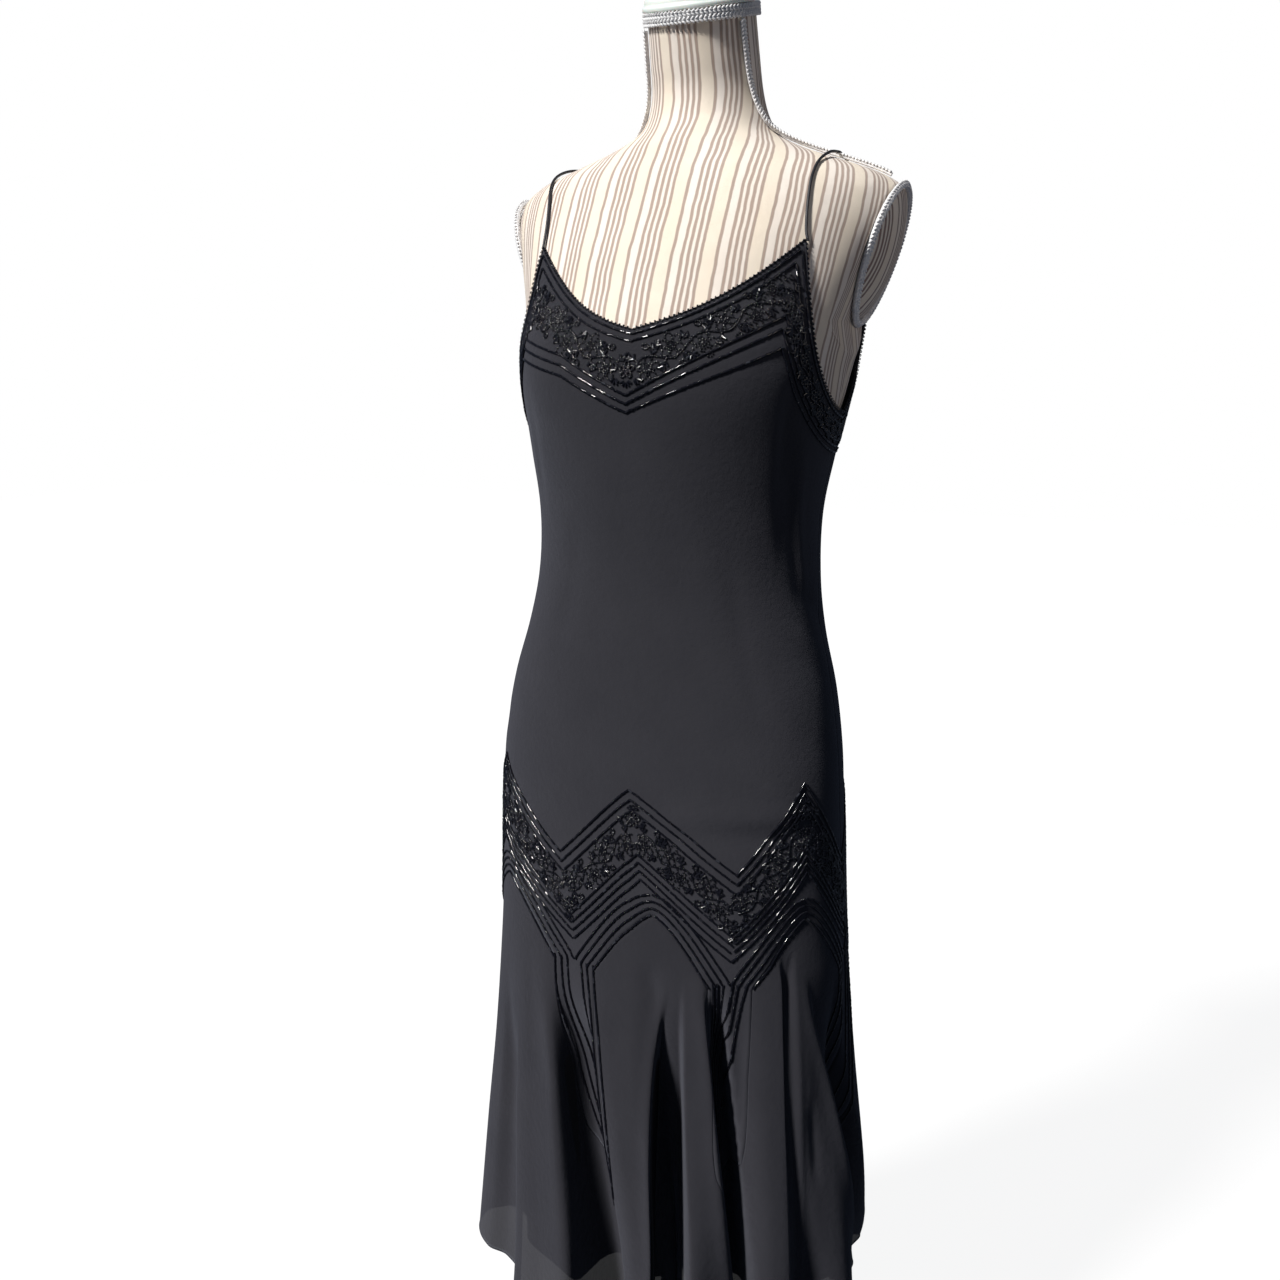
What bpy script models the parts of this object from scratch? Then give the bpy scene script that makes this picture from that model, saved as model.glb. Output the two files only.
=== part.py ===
"""Beaded evening dress on a limbless dress form.

Metres, +Z up.  The dress faces -Y, the wearer's left is +X, and the origin is the centre of
the underside of the stand's base.  An angle around the figure is 0 at the centre front and
grows towards +X; 90 degrees is the left side and 180 the centre back.

Cloth and form share one set of level sections.  The cloth is cut in design angles: the six
strips between the skirt's godets lie at 30, 90 and 150 degrees on each side, and the hang of
the skirt swings them a little on the way down.
"""
from math import asin, cos, degrees, exp, pi, radians, sin, sqrt, tan

import bmesh
import bpy
from mathutils import Vector

# ---------------------------------------------------------------- driving dimensions
SEAM_GAP = 0.0003
CLOTH_WALL = 0.0012
LINING_WALL = 0.0010

FORM_BOTTOM = 0.797
NECK_TOP = 1.596
NECK_TILT = radians(15.0)
NECK_TILT_FROM = 1.490

NECKLINE_V = 1.280
FRONT_TIP = 1.362
BACK_V = 1.225
BACK_TIP = 1.330
UNDERARM = 1.200

# The curves of the top edge: how much of the rise is straight, and the power of the rest.
FRONT_EDGE = (0.42, 2.9)
FRONT_ARMHOLE = (0.16, 2.3)
BACK_ARMHOLE = (0.45, 2.0)
BACK_EDGE = (0.55, 2.0)

ARCH_TOP = 0.700
ARCH_FOOT = 0.628
ARCH_POWER = 1.40
ARCH_GAP = 0.0005
STRIP_END = 0.392
OUTER_HEM = 0.232
LINING_TOP = 0.600
LINING_HEM = 0.282
LINING_ROOM_TOP = 0.0010
LINING_ROOM_HEM = 0.0130
LINING_CALM = 0.22
LINING_COLUMNS = 60

STRAP_RADIUS = 0.0015
# Where each strap crosses the shoulder, and how late it swings out on its way there: 1 is evenly.
STRAP_COLUMNS = ("side", "mirror", "crest_x", "swing")
STRAPS = (("left", 1.0, 0.137, 0.6), ("right", -1.0, 0.148, 2.0))
STRAP_LIFT = 0.0015
STRAP_ABOVE_TIP = 0.002
STRAP_STEPS = 16

PLATE_TOP = 1.421
PLATE_BOTTOM = 1.288
PLATE_TOP_X = 0.2060
PLATE_LEAN = 0.32
PLATE_CENTRE_Y = 0.078
PLATE_HALF_DEPTH = 0.052
PLATE_BRAID_RADIUS = 0.0033
PLATE_BROADER_TOP = 0.10
PLATE_SHORTER = 0.004
PLATE_SIDES = 28
SIDE_LEAN_BELOW_PLATE = 0.25

SHOULDER_BRAID_RADIUS = 0.0022
SHOULDER_BRAID_LIFT = 0.0030
SHOULDER_SLOPE_STEP = 0.003
BRAID_TURN_STEP = 2.0
NECK_BRAID_WALL = 0.0008

POLE_RADIUS = 0.0125
BASE_RADIUS = 0.150
BASE_THICKNESS = 0.014
BASE_EDGE = 0.006
BASE_BEVEL = 0.003
BASE_SLOPE = 0.012
COLLAR_RADIUS = 0.024
COLLAR_NECK_RADIUS = 0.017
COLLAR_HEIGHT = 0.040
COLLAR_EDGE = 0.010
COLLAR_BEVEL = 0.006
FLANGE_RADIUS = 0.040
FLANGE_THICKNESS = 0.004
FLANGE_NECK_RADIUS = 0.018
FLANGE_NECK_DROP = 0.016
FLANGE_HEIGHT = 0.030

# The strips between the godets, by height: half the width, which runs out in a point.
STRIP_COLUMNS = ("height", "half_width")
STRIP_ROOT_HALF = 0.0230
STRIPS = (
    (0.392, 0.0016), (0.434, 0.0175), (0.540, 0.0215), (0.628, STRIP_ROOT_HALF), (0.700, STRIP_ROOT_HALF),
)

# Design angles of the strips on each body panel, and places across a godet's arch.
FRONT_STRIPS = (-90.0, -30.0, 30.0, 90.0)
BACK_STRIPS = (90.0, 150.0, 210.0, 270.0)
ARCH_PLACES = (-1.0, -0.88, -0.74, -0.54, -0.30, 0.0, 0.30, 0.54, 0.74, 0.88, 1.0)

HIP_RADIUS = 0.175
GODET_HALF = 30.0 - degrees(STRIP_ROOT_HALF / HIP_RADIUS)
SEAM_ANGLE = degrees(SEAM_GAP / HIP_RADIUS)

# The tips of the dress, where the straps start, lie above a place of the side godets' arches.
FRONT_TIP_ANGLE = 60.0 - 0.88 * GODET_HALF
BACK_TIP_ANGLE = 120.0 + 0.30 * GODET_HALF

# Heights where the strips and the godets beside them share their rows of points, low to high.
STRIP_LEVELS = (0.0, 0.18, 0.36, 0.54, 0.70, 0.86, 1.0)
SKIRT_LEVELS = (0.0, 0.25, 0.5, 0.75, 0.96)
LINING_LEVELS = (0.0, 0.25, 0.5, 0.75, 1.0)
BODY_LEVELS = (0.0, 0.08, 0.16, 0.24, 0.32, 0.40, 0.48, 0.56, 0.63, 0.70, 0.76, 0.82, 0.87, 0.915, 0.96, 1.0)

# Heights of the form's rings, and how many points each has.
FORM_LEVELS = (FORM_BOTTOM, 0.840, 0.890, 0.940, 0.990, 1.035, 1.085, 1.130, 1.170, 1.200, 1.225,
               1.248, 1.270, PLATE_BOTTOM, 1.306, 1.328, 1.350, 1.372, 1.390, 1.405, 1.416, 1.426,
               1.434, 1.441, 1.448, 1.455, 1.462, 1.469, 1.478, 1.491, 1.509, 1.535, 1.566, NECK_TOP)
FORM_SIDES = 40

# The padded arm plate, from its rim to its middle: share of the oval, and height of the rise.
PLATE_RISE = ((1.0, 0.0), (1.0, 0.0014), (0.97, 0.0036), (0.88, 0.0066), (0.70, 0.0104), (0.45, 0.0136),
              (0.20, 0.0150))

# The braid down the side of the neck and along the shoulder: height, and true angle.
SHOULDER_BRAID_COLUMNS = ("height", "angle")
SHOULDER_BRAID = (
    (1.5795, 64.0), (1.566, 64.0), (1.553, 64.2), (1.538, 64.8), (1.523, 66.0), (1.508, 68.2), (1.495, 71.2),
    (1.485, 74.6), (1.477, 78.4), (1.469, 82.8), (1.462, 86.8), (1.455, 90.0), (1.448, 90.0), (1.441, 90.0),
    (1.434, 90.0), (1.429, 90.0),
)

# The neck's cap, radius and height from its underside, and the neck's braid, below the top and out.
CAP_PROFILE = ((0.0, 0.0170), (0.0300, 0.0165), (0.0500, 0.0150), (0.0560, 0.0120), (0.0570, 0.0052),
               (0.0590, 0.0044), (0.0590, 0.0006), (0.0580, 0.0), (0.0, 0.0))
NECK_BRAID_PROFILE = ((0.0125, 0.0012), (0.0110, 0.0036), (0.0067, 0.0032), (0.0024, 0.0036),
                      (0.0009, 0.0012))

# Level sections of the figure: half width at the sides, the front and back of the section on
# its middle plane, the level line of the sides, and how square each half is (2 is an ellipse).
SECTION_COLUMNS = ("height", "half_width", "front", "back", "side_line", "front_square", "back_square")
SECTIONS = (
    (0.200, 0.224, -0.180, 0.186, -0.006, 2.0, 2.0),
    (0.380, 0.213, -0.160, 0.168, -0.008, 2.0, 2.0),
    (0.500, 0.204, -0.146, 0.154, -0.010, 2.0, 2.0),
    (0.620, 0.196, -0.133, 0.141, -0.014, 2.1, 2.1),
    (0.700, 0.191, -0.127, 0.135, -0.018, 2.2, 2.2),
    (0.800, 0.187, -0.122, 0.130, -0.021, 2.2, 2.2),
    (0.860, 0.183, -0.119, 0.124, -0.018, 2.2, 2.2),
    (0.920, 0.173, -0.114, 0.113, -0.010, 2.2, 2.2),
    (0.980, 0.157, -0.108, 0.102, 0.000, 2.2, 2.2),
    (1.035, 0.148, -0.105, 0.095, 0.010, 2.2, 2.2),
    (1.100, 0.147, -0.112, 0.099, 0.015, 2.2, 2.3),
    (1.160, 0.156, -0.122, 0.110, 0.024, 2.2, 2.4),
    (1.220, 0.167, -0.128, 0.126, 0.033, 2.1, 2.6),
    (1.260, 0.174, -0.123, 0.135, 0.045, 2.1, 2.7),
    (1.300, 0.184, -0.108, 0.144, 0.066, 2.1, 2.7),
    (1.350, 0.201, -0.084, 0.151, 0.084, 2.1, 2.7),
    (1.386, 0.212, -0.062, 0.155, 0.092, 2.1, 2.7),
    (1.408, 0.211, -0.048, 0.157, 0.094, 2.1, 2.6),
    (1.421, 0.202, -0.040, 0.157, 0.094, 2.1, 2.5),
    (1.434, 0.180, -0.031, 0.157, 0.093, 2.1, 2.4),
    (1.4465, 0.146, -0.021, 0.156, 0.092, 2.0, 2.2),
    (1.461, 0.103, -0.009, 0.152, 0.088, 2.0, 2.1),
    (1.475, 0.076, 0.005, 0.149, 0.087, 2.0, 2.0),
    (1.492, 0.064, 0.018, 0.145, 0.084, 2.0, 2.0),
    (1.515, 0.0575, 0.022, 0.138, 0.079, 2.0, 2.0),
    (1.545, 0.0555, 0.015, 0.128, 0.070, 2.0, 2.0),
    (1.603, 0.0536, 0.001, 0.109, 0.055, 2.0, 2.0),
)

# How far each strip has swung from its design angle at the arch foot and at the hem, degrees.
SWING_COLUMNS = ("design_angle", "at_foot", "at_hem")
SWINGS = (
    (-90.0, 1.0, 5.0),
    (-30.0, 13.5, 31.0),
    (30.0, 2.8, 3.0),
    (90.0, 3.0, 2.0),
    (150.0, 1.0, 3.0),
    (210.0, 0.0, -2.0),
)
SWING_FROM = 1.000

# The dress sits a little turned on the form: how far its top edge does, fading out below the bust.
TOP_SWING_COLUMNS = ("design_angle", "at_top")
TOP_SWINGS = ((-90.0, 1.0), (-40.0, 4.0), (0.0, 1.0), (40.0, 2.8), (90.0, 0.5), (180.0, 0.0))
TOP_SWING_FROM = 1.100
TOP_SWING_FULL = 1.300

# The skirt's folds: troughs (negative) and ridges at the hem, by design angle.
FOLD_COLUMNS = ("design_angle", "at_hem")
FOLDS = (
    (-90.0, -0.022), (-74.0, 0.013), (-61.0, -0.006), (-48.0, 0.012), (-42.0, 0.018),
    (-34.0, -0.032), (-16.0, 0.014), (-9.0, 0.015), (1.0, -0.020), (11.0, 0.014),
    (18.0, 0.015), (34.0, -0.026), (43.0, 0.016), (49.0, 0.012), (58.0, -0.011), (74.0, 0.015),
    (90.0, -0.024), (104.0, 0.014), (111.0, 0.014), (119.0, -0.012), (128.0, 0.014),
    (136.0, 0.016), (150.0, -0.025), (164.0, 0.015), (172.0, 0.013), (181.0, -0.012),
    (190.0, 0.013), (196.0, 0.015), (210.0, -0.024), (224.0, 0.015), (231.0, 0.013),
    (240.0, -0.012), (249.0, 0.014), (256.0, 0.024),
)
FOLDS_FROM = 0.665
FOLDS_POWER = 1.15
FOLDS_SHARP = 0.80

# The outer hem's slight waves: height, waves once round, and where they start in degrees.
HEM_WAVES = ((0.004, 3, 40.0), (0.003, 5, 90.0))

# Room between the form and the inside of the cloth, by height.
EASE_COLUMNS = ("height", "ease")
EASES = (
    (0.70, 0.0016), (0.86, 0.0018), (0.95, 0.0026), (1.035, 0.0030),
    (1.12, 0.0026), (1.20, 0.0018), (1.28, 0.0015), (1.60, 0.0015),
)

# Fullness of the bust: half angle from the centre front, height, and how far it stands out.
BUST_ANGLE = 34.0
BUST_HEIGHT = 1.238
BUST_OUT = 0.009
BUST_SPREAD_ANGLE = 17.0
BUST_SPREAD_HEIGHT = 0.042

# The covered part of the form is a little slimmer than the figure.
UNDER_CLOTH = 0.0030
UNDER_CLOTH_FROM = 1.245
UNDER_CLOTH_TO = 1.305

COLLECTION = "beaded_evening_dress_on_form"


# ---------------------------------------------------------------- tables and curves
def column(rows, names, wanted):
    place = names.index(wanted)
    return [line[place] for line in rows]


def smooth_between(heights, values, at):
    """Cubic through the rows, with slopes from their neighbours."""
    last = len(heights) - 1
    at = min(max(at, heights[0]), heights[last])
    low = max(index for index in range(last) if heights[index] <= at)
    step = heights[low + 1] - heights[low]
    u = (at - heights[low]) / step

    def slope(index):
        before, after = max(index - 1, 0), min(index + 1, last)
        return (values[after] - values[before]) / (heights[after] - heights[before]) * step

    return ((2 * u**3 - 3 * u**2 + 1) * values[low] + (u**3 - 2 * u**2 + u) * slope(low)
            + (3 * u**2 - 2 * u**3) * values[low + 1] + (u**3 - u**2) * slope(low + 1))


def ring_between(angles, values, at, sharp=1.0):
    """Soft steps between rows that go once round; a power below 1 makes the low ones narrow."""
    at = (at - angles[0]) % 360.0 + angles[0]
    angles = list(angles) + [angles[0] + 360.0]
    values = list(values) + [values[0]]
    low = max(index for index in range(len(angles) - 1) if angles[index] <= at)
    u = (at - angles[low]) / (angles[low + 1] - angles[low])
    u = u ** sharp if values[low] < values[low + 1] else 1 - (1 - u) ** sharp
    return values[low] + (values[low + 1] - values[low]) * (1 - cos(pi * u)) / 2


def ramp(start, end, at):
    u = min(max((at - start) / (end - start), 0.0), 1.0)
    return u * u * (3 - 2 * u)


def section(height):
    heights = column(SECTIONS, SECTION_COLUMNS, "height")
    return {name: smooth_between(heights, column(SECTIONS, SECTION_COLUMNS, name), height)
            for name in SECTION_COLUMNS[1:]}


SECTION_CACHE = {}


def section_at(height):
    key = round(height, 5)
    if key not in SECTION_CACHE:
        SECTION_CACHE[key] = section(height)
    return SECTION_CACHE[key]


def bust(angle, height):
    turn = (angle + 180.0) % 360.0 - 180.0
    across = (abs(turn) - BUST_ANGLE) / BUST_SPREAD_ANGLE
    up = (height - BUST_HEIGHT) / BUST_SPREAD_HEIGHT
    return BUST_OUT * exp(-(across * across + up * up) / 2)


def level_point(angle, height):
    """A point of the level section, with no offset."""
    now = section_at(height)
    turn = radians(angle)
    s, c = sin(turn), cos(turn)
    square = now["front_square"] if c >= 0 else now["back_square"]
    reach = now["side_line"] - now["front"] if c >= 0 else now["back"] - now["side_line"]
    x = now["half_width"] * (1 if s >= 0 else -1) * abs(s) ** (2 / square)
    y = now["side_line"] - reach * (1 if c >= 0 else -1) * abs(c) ** (2 / square)
    return x, y


def body_point(angle, height, out=0.0):
    """A point of the figure at a true angle and height, moved out level with the floor."""
    x, y = level_point(angle, height)
    ahead, behind = level_point(angle + 2.0, height), level_point(angle - 2.0, height)
    along = (ahead[0] - behind[0], ahead[1] - behind[1])
    size = sqrt(along[0] ** 2 + along[1] ** 2)
    out += bust(angle, height)
    return Vector((x + along[1] / size * out, y - along[0] / size * out, height))


def ease(height):
    heights = column(EASES, EASE_COLUMNS, "height")
    return smooth_between(heights, column(EASES, EASE_COLUMNS, "ease"), height)


def true_angle(design, height):
    """Where a design angle hangs at this height."""
    angles = column(SWINGS, SWING_COLUMNS, "design_angle")
    at_foot = ring_between(angles, column(SWINGS, SWING_COLUMNS, "at_foot"), design)
    at_hem = ring_between(angles, column(SWINGS, SWING_COLUMNS, "at_hem"), design)
    if height >= ARCH_FOOT:
        at_top = ring_between(column(TOP_SWINGS, TOP_SWING_COLUMNS, "design_angle"),
                              column(TOP_SWINGS, TOP_SWING_COLUMNS, "at_top"), design)
        return (design + at_foot * ramp(SWING_FROM, ARCH_FOOT, height)
                + at_top * ramp(TOP_SWING_FROM, TOP_SWING_FULL, height))
    return design + at_foot + (at_hem - at_foot) * ramp(ARCH_FOOT, OUTER_HEM, height)


def fold(design, height):
    """How far the hang of the skirt stands out or in at this place."""
    at_hem = ring_between(column(FOLDS, FOLD_COLUMNS, "design_angle"),
                          column(FOLDS, FOLD_COLUMNS, "at_hem"), design, FOLDS_SHARP)
    return at_hem * max((FOLDS_FROM - height) / (FOLDS_FROM - OUTER_HEM), 0.0) ** FOLDS_POWER


def cloth_point(design, height, out=0.0):
    """A point of the outer face of the dress."""
    stand_off = ease(height) + CLOTH_WALL + fold(design, height) + out
    return body_point(true_angle(design, height), height, stand_off)


# ---------------------------------------------------------------- making solids
def material(name, colour, roughness, metallic=0.0):
    made = bpy.data.materials.new(name)
    made.use_nodes = True
    shader = made.node_tree.nodes["Principled BSDF"]
    shader.inputs["Base Color"].default_value = (*colour, 1.0)
    shader.inputs["Roughness"].default_value = roughness
    shader.inputs["Metallic"].default_value = metallic
    return made


def add_object(name, mesh, finish):
    made = bpy.data.objects.new(name, mesh)
    bpy.data.collections[COLLECTION].objects.link(made)
    mesh.materials.clear()
    mesh.materials.append(finish)
    mesh.shade_smooth()
    return made


def sheet_object(name, rows, finish, wall, closed=False):
    """A wall through rows of points that share a column count; its outer face is given."""
    mesh = bpy.data.meshes.new(name)
    shape = bmesh.new()
    grid = [[shape.verts.new(point) for point in line] for line in rows]
    wide = len(grid[0])
    for low, high in zip(grid, grid[1:]):
        for place in range(wide if closed else wide - 1):
            after = (place + 1) % wide
            shape.faces.new((low[place], low[after], high[after], high[place]))
    shape.to_mesh(mesh)
    shape.free()
    made = add_object(name, mesh, finish)
    add_wall(made, wall)
    return made


def add_wall(made, wall):
    thick = made.modifiers.new("wall", "SOLIDIFY")
    thick.thickness = wall
    thick.offset = -1.0
    thick.use_even_offset = True


def loft_object(name, rings, finish):
    """A closed solid through rings of points, with flat ends."""
    mesh = bpy.data.meshes.new(name)
    shape = bmesh.new()
    grid = [[shape.verts.new(point) for point in line] for line in rings]
    wide = len(grid[0])
    for low, high in zip(grid, grid[1:]):
        for place in range(wide):
            after = (place + 1) % wide
            shape.faces.new((low[place], low[after], high[after], high[place]))
    shape.faces.new(list(reversed(grid[0])))
    shape.faces.new(grid[-1])
    bmesh.ops.recalc_face_normals(shape, faces=shape.faces)
    shape.to_mesh(mesh)
    shape.free()
    return add_object(name, mesh, finish)


def tube_object(name, points, radius, finish, closed=False):
    """A round cord through points."""
    curve = bpy.data.curves.new(name, "CURVE")
    curve.dimensions = "3D"
    curve.bevel_depth = radius
    curve.bevel_resolution = 2
    curve.use_fill_caps = not closed
    line = curve.splines.new("POLY")
    line.points.add(len(points) - 1)
    line.use_cyclic_u = closed
    for place, point in zip(line.points, points):
        place.co = (*point, 1.0)
    made = bpy.data.objects.new(name, curve)
    bpy.data.collections[COLLECTION].objects.link(made)
    curve.materials.append(finish)
    return made


def turned_object(name, profile, finish, steps, at=(0.0, 0.0, 0.0), tilt=0.0):
    """A profile of (radius, height) pairs, top to bottom, turned about its own Z axis."""
    mesh = bpy.data.meshes.new(name)
    shape = bmesh.new()
    points = [shape.verts.new((radius, 0.0, height)) for radius, height in profile]
    for first, second in zip(points, points[1:]):
        shape.edges.new((first, second))
    shape.to_mesh(mesh)
    shape.free()
    made = add_object(name, mesh, finish)
    turn = made.modifiers.new("turn", "SCREW")
    turn.steps = steps
    turn.render_steps = steps
    turn.use_merge_vertices = True
    turn.merge_threshold = 0.00001
    turn.use_smooth_shade = True
    made.location = at
    made.rotation_euler = (tilt, 0.0, 0.0)
    return made


# ---------------------------------------------------------------- the cut of the dress
def edge(low, high, u, curve):
    """A stretch of the top edge, from its low end to its high end as u goes from 0 to 1."""
    straight, power = curve
    return low + (high - low) * (straight * u + (1 - straight) * u ** power)


def neckline(design):
    """Height of the dress's top edge at a design angle: necklines and armholes, front and back."""
    around = abs((design + 180.0) % 360.0 - 180.0)
    if around <= FRONT_TIP_ANGLE:
        u = sin(radians(around)) / sin(radians(FRONT_TIP_ANGLE))
        return edge(NECKLINE_V, FRONT_TIP, u, FRONT_EDGE)
    if around <= 90.0:
        u = (90.0 - around) / (90.0 - FRONT_TIP_ANGLE)
        return edge(UNDERARM, FRONT_TIP, u, FRONT_ARMHOLE)
    if around <= BACK_TIP_ANGLE:
        u = (around - 90.0) / (BACK_TIP_ANGLE - 90.0)
        return edge(UNDERARM, BACK_TIP, u, BACK_ARMHOLE)
    u = (180.0 - around) / (180.0 - BACK_TIP_ANGLE)
    return edge(BACK_V, BACK_TIP, u, BACK_EDGE)


def strip_half_angle(height):
    """Half the width of a strip between godets, as an angle of the section."""
    heights = column(STRIPS, STRIP_COLUMNS, "height")
    return degrees(smooth_between(heights, column(STRIPS, STRIP_COLUMNS, "half_width"), height) / HIP_RADIUS)


def arch(across):
    """Height of a godet's arched top; across runs from -1 to 1 over the godet."""
    return ARCH_FOOT + (ARCH_TOP - ARCH_FOOT) * (1 - abs(across) ** ARCH_POWER)


def body_bottom(design):
    """Height of the body panels' lower edge, over the godets and across the strips' roots."""
    from_centre = (design + 30.0) % 60.0 - 30.0
    if abs(from_centre) >= GODET_HALF:
        return ARCH_FOOT
    return arch(from_centre / GODET_HALF) + ARCH_GAP


def body_columns(strips):
    """Design angles of a body panel's columns: the middle and edges of each strip, and the places
    across each arch."""
    angles = {strips[0] + SEAM_ANGLE / 2, strips[-1] - SEAM_ANGLE / 2, *strips[1:-1]}
    for strip in strips[:-1]:
        angles |= {strip + 30.0 + part * GODET_HALF for part in ARCH_PLACES}
    return sorted(angles)


def grid_rows(angles, bottom, top, levels):
    """Rows of cloth points between a lower and an upper edge."""
    return [[cloth_point(angle, bottom(angle) + (top(angle) - bottom(angle)) * level) for angle in angles]
            for level in levels]


def body_panel(name, strips, finish):
    """Front or back: from the neckline to the arches, with the strips that run on below."""
    angles = body_columns(strips)
    rows = grid_rows(angles, body_bottom, neckline, BODY_LEVELS)
    mesh = bpy.data.meshes.new(name)
    shape = bmesh.new()
    grid = [[shape.verts.new(point) for point in line] for line in rows]
    for low, high in zip(grid, grid[1:]):
        for place in range(len(angles) - 1):
            shape.faces.new((low[place], low[place + 1], high[place + 1], high[place]))
    for strip in strips:
        add_strip(shape, grid[0], angles, strip)
    shape.to_mesh(mesh)
    shape.free()
    made = add_object(name, mesh, finish)
    add_wall(made, CLOTH_WALL)
    return made


def add_strip(shape, lowest_row, angles, strip):
    """The part of a strip that hangs below the arches, on from the panel's lowest row."""
    half = 30.0 - GODET_HALF
    roots = [(angle, vert) for angle, vert in zip(angles, lowest_row) if abs(angle - strip) <= half + 0.01]
    above = [vert for angle, vert in roots]
    for level in reversed(STRIP_LEVELS[:-1]):
        height = STRIP_END + (ARCH_FOOT - STRIP_END) * level
        narrow = strip_half_angle(height) / half
        row = [shape.verts.new(cloth_point(strip + (angle - strip) * narrow, height))
               for angle, vert in roots]
        for place in range(len(row) - 1):
            shape.faces.new((row[place], row[place + 1], above[place + 1], above[place]))
        above = row


def hem_height(design):
    return OUTER_HEM + sum(high * sin(radians(waves * design + start)) for high, waves, start in HEM_WAVES)


def godet_half_angle(height):
    """Half a godet's width as a design angle: up to the strips, and below them up to the seam."""
    if height >= STRIP_END - 0.0001:
        return 30.0 - strip_half_angle(height) - SEAM_ANGLE
    return 30.0 - SEAM_ANGLE / 2


def godet_panel(name, centre, finish):
    """One arched insert, from the hem up past the strips to its arch."""
    rows = []
    for level in SKIRT_LEVELS + STRIP_LEVELS:
        line = []
        for part in ARCH_PLACES:
            if len(rows) < len(SKIRT_LEVELS):
                low = hem_height(centre + 30.0 * part)
                side = low + (STRIP_END - low) * level
                height = side
            else:
                side = STRIP_END + (ARCH_FOOT - STRIP_END) * level
                height = side + (arch(part) - ARCH_FOOT) * level
            line.append(cloth_point(centre + part * godet_half_angle(side), height))
        rows.append(line)
    return sheet_object(name, rows, finish, CLOTH_WALL)


def lining_point(design, height):
    """The lining hangs inside the godets, closer at its seam and freer at its hem."""
    drop = (LINING_TOP - height) / (LINING_TOP - LINING_HEM)
    inside = CLOTH_WALL + LINING_ROOM_TOP + LINING_ROOM_HEM * drop
    calmer = -LINING_CALM * fold(design, height) * drop
    return cloth_point(design, height, calmer - inside)


def lining_skirt(finish):
    columns = [-90.0 + 360.0 * step / LINING_COLUMNS for step in range(LINING_COLUMNS)]
    rows = [[lining_point(angle, LINING_HEM + (LINING_TOP - LINING_HEM) * level) for angle in columns]
            for level in LINING_LEVELS]
    return sheet_object("lining_skirt", rows, finish, LINING_WALL, closed=True)


# ---------------------------------------------------------------- straps
def strap_angle(across, square, half_width):
    """True angle where a section reaches this far to the side."""
    return degrees(asin(min((across / half_width) ** (square / 2), 1.0)))


def crest_height(crest_x):
    """Height of the shoulder where a strap crosses it."""
    low, high = PLATE_TOP, NECK_TILT_FROM
    while high - low > 1e-6:
        middle = (low + high) / 2
        if section_at(middle)["half_width"] > crest_x:
            low = middle
        else:
            high = middle
    return low


def strap_side(tip_angle, tip_height, crest_x, swing, front):
    """Points from a tip of the dress, at its true angle, up to the crest, on the left shoulder."""
    lift = STRAP_RADIUS + STRAP_LIFT
    over_braid = SHOULDER_BRAID_LIFT + SHOULDER_BRAID_RADIUS + SEAM_GAP
    crest = crest_height(crest_x)
    points = []
    start = tip_height + STRAP_ABOVE_TIP
    tip_x = body_point(tip_angle, start).x
    for step in range(STRAP_STEPS + 1):
        u = step / STRAP_STEPS
        height = start + (crest - start) * sin(u * pi / 2)
        now = section_at(height)
        square = now["front_square"] if front else now["back_square"]
        across = tip_x + (crest_x - tip_x) * ((height - start) / (crest - start)) ** swing
        around = strap_angle(across, square, now["half_width"])
        angle = around if front else 180.0 - around
        near_crest = ramp(0.5, 1.0, u)
        raised = Vector((0.0, 0.0, over_braid * near_crest))
        points.append(body_point(angle, height, lift * (1 - 0.8 * near_crest)) + raised)
    points[-1] = body_point(90.0, crest) + shoulder_normal(crest) * (over_braid + STRAP_RADIUS)
    return points


def shoulder_normal(height):
    """Away from the left shoulder's crest, in the plane that runs from side to side."""
    below = braid_point(90.0, height - SHOULDER_SLOPE_STEP, 0.0)
    above = braid_point(90.0, height + SHOULDER_SLOPE_STEP, 0.0)
    along = (above - below).normalized()
    away = Vector((along.z, 0.0, -along.x))
    return away if away.x > 0 else -away


def strap(name, mirror, crest_x, swing, finish):
    """From the front tip over the shoulder to the back tip; worked out on the left and mirrored."""
    front_tip = mirror * true_angle(mirror * FRONT_TIP_ANGLE, FRONT_TIP)
    back_tip = mirror * true_angle(mirror * BACK_TIP_ANGLE, BACK_TIP)
    front = strap_side(front_tip, FRONT_TIP, crest_x, swing, True)
    back = strap_side(back_tip, BACK_TIP, crest_x, swing, False)
    points = front + list(reversed(back[:-1]))
    return tube_object(name, [Vector((mirror * p.x, p.y, p.z)) for p in points], STRAP_RADIUS, finish)


# ---------------------------------------------------------------- the form
def plate_x(height):
    return PLATE_TOP_X - PLATE_LEAN * (PLATE_TOP - height)


def form_point(angle, height):
    """The form's own surface, flat where the arms would be, its neck cut on a slope."""
    point = body_point(angle, height, -UNDER_CLOTH * ramp(UNDER_CLOTH_TO, UNDER_CLOTH_FROM, height))
    if height > PLATE_BOTTOM:
        limit = plate_x(height)
    else:
        limit = plate_x(PLATE_BOTTOM) + SIDE_LEAN_BELOW_PLATE * (PLATE_BOTTOM - height)
    point.x = min(max(point.x, -limit), limit)
    lean = ramp(NECK_TILT_FROM, NECK_TOP, height)
    point.z += lean * tan(NECK_TILT) * (point.y - section_at(NECK_TOP)["side_line"])
    return point


def ring_angles():
    return [-180.0 + 360.0 * step / FORM_SIDES for step in range(FORM_SIDES)]


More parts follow.
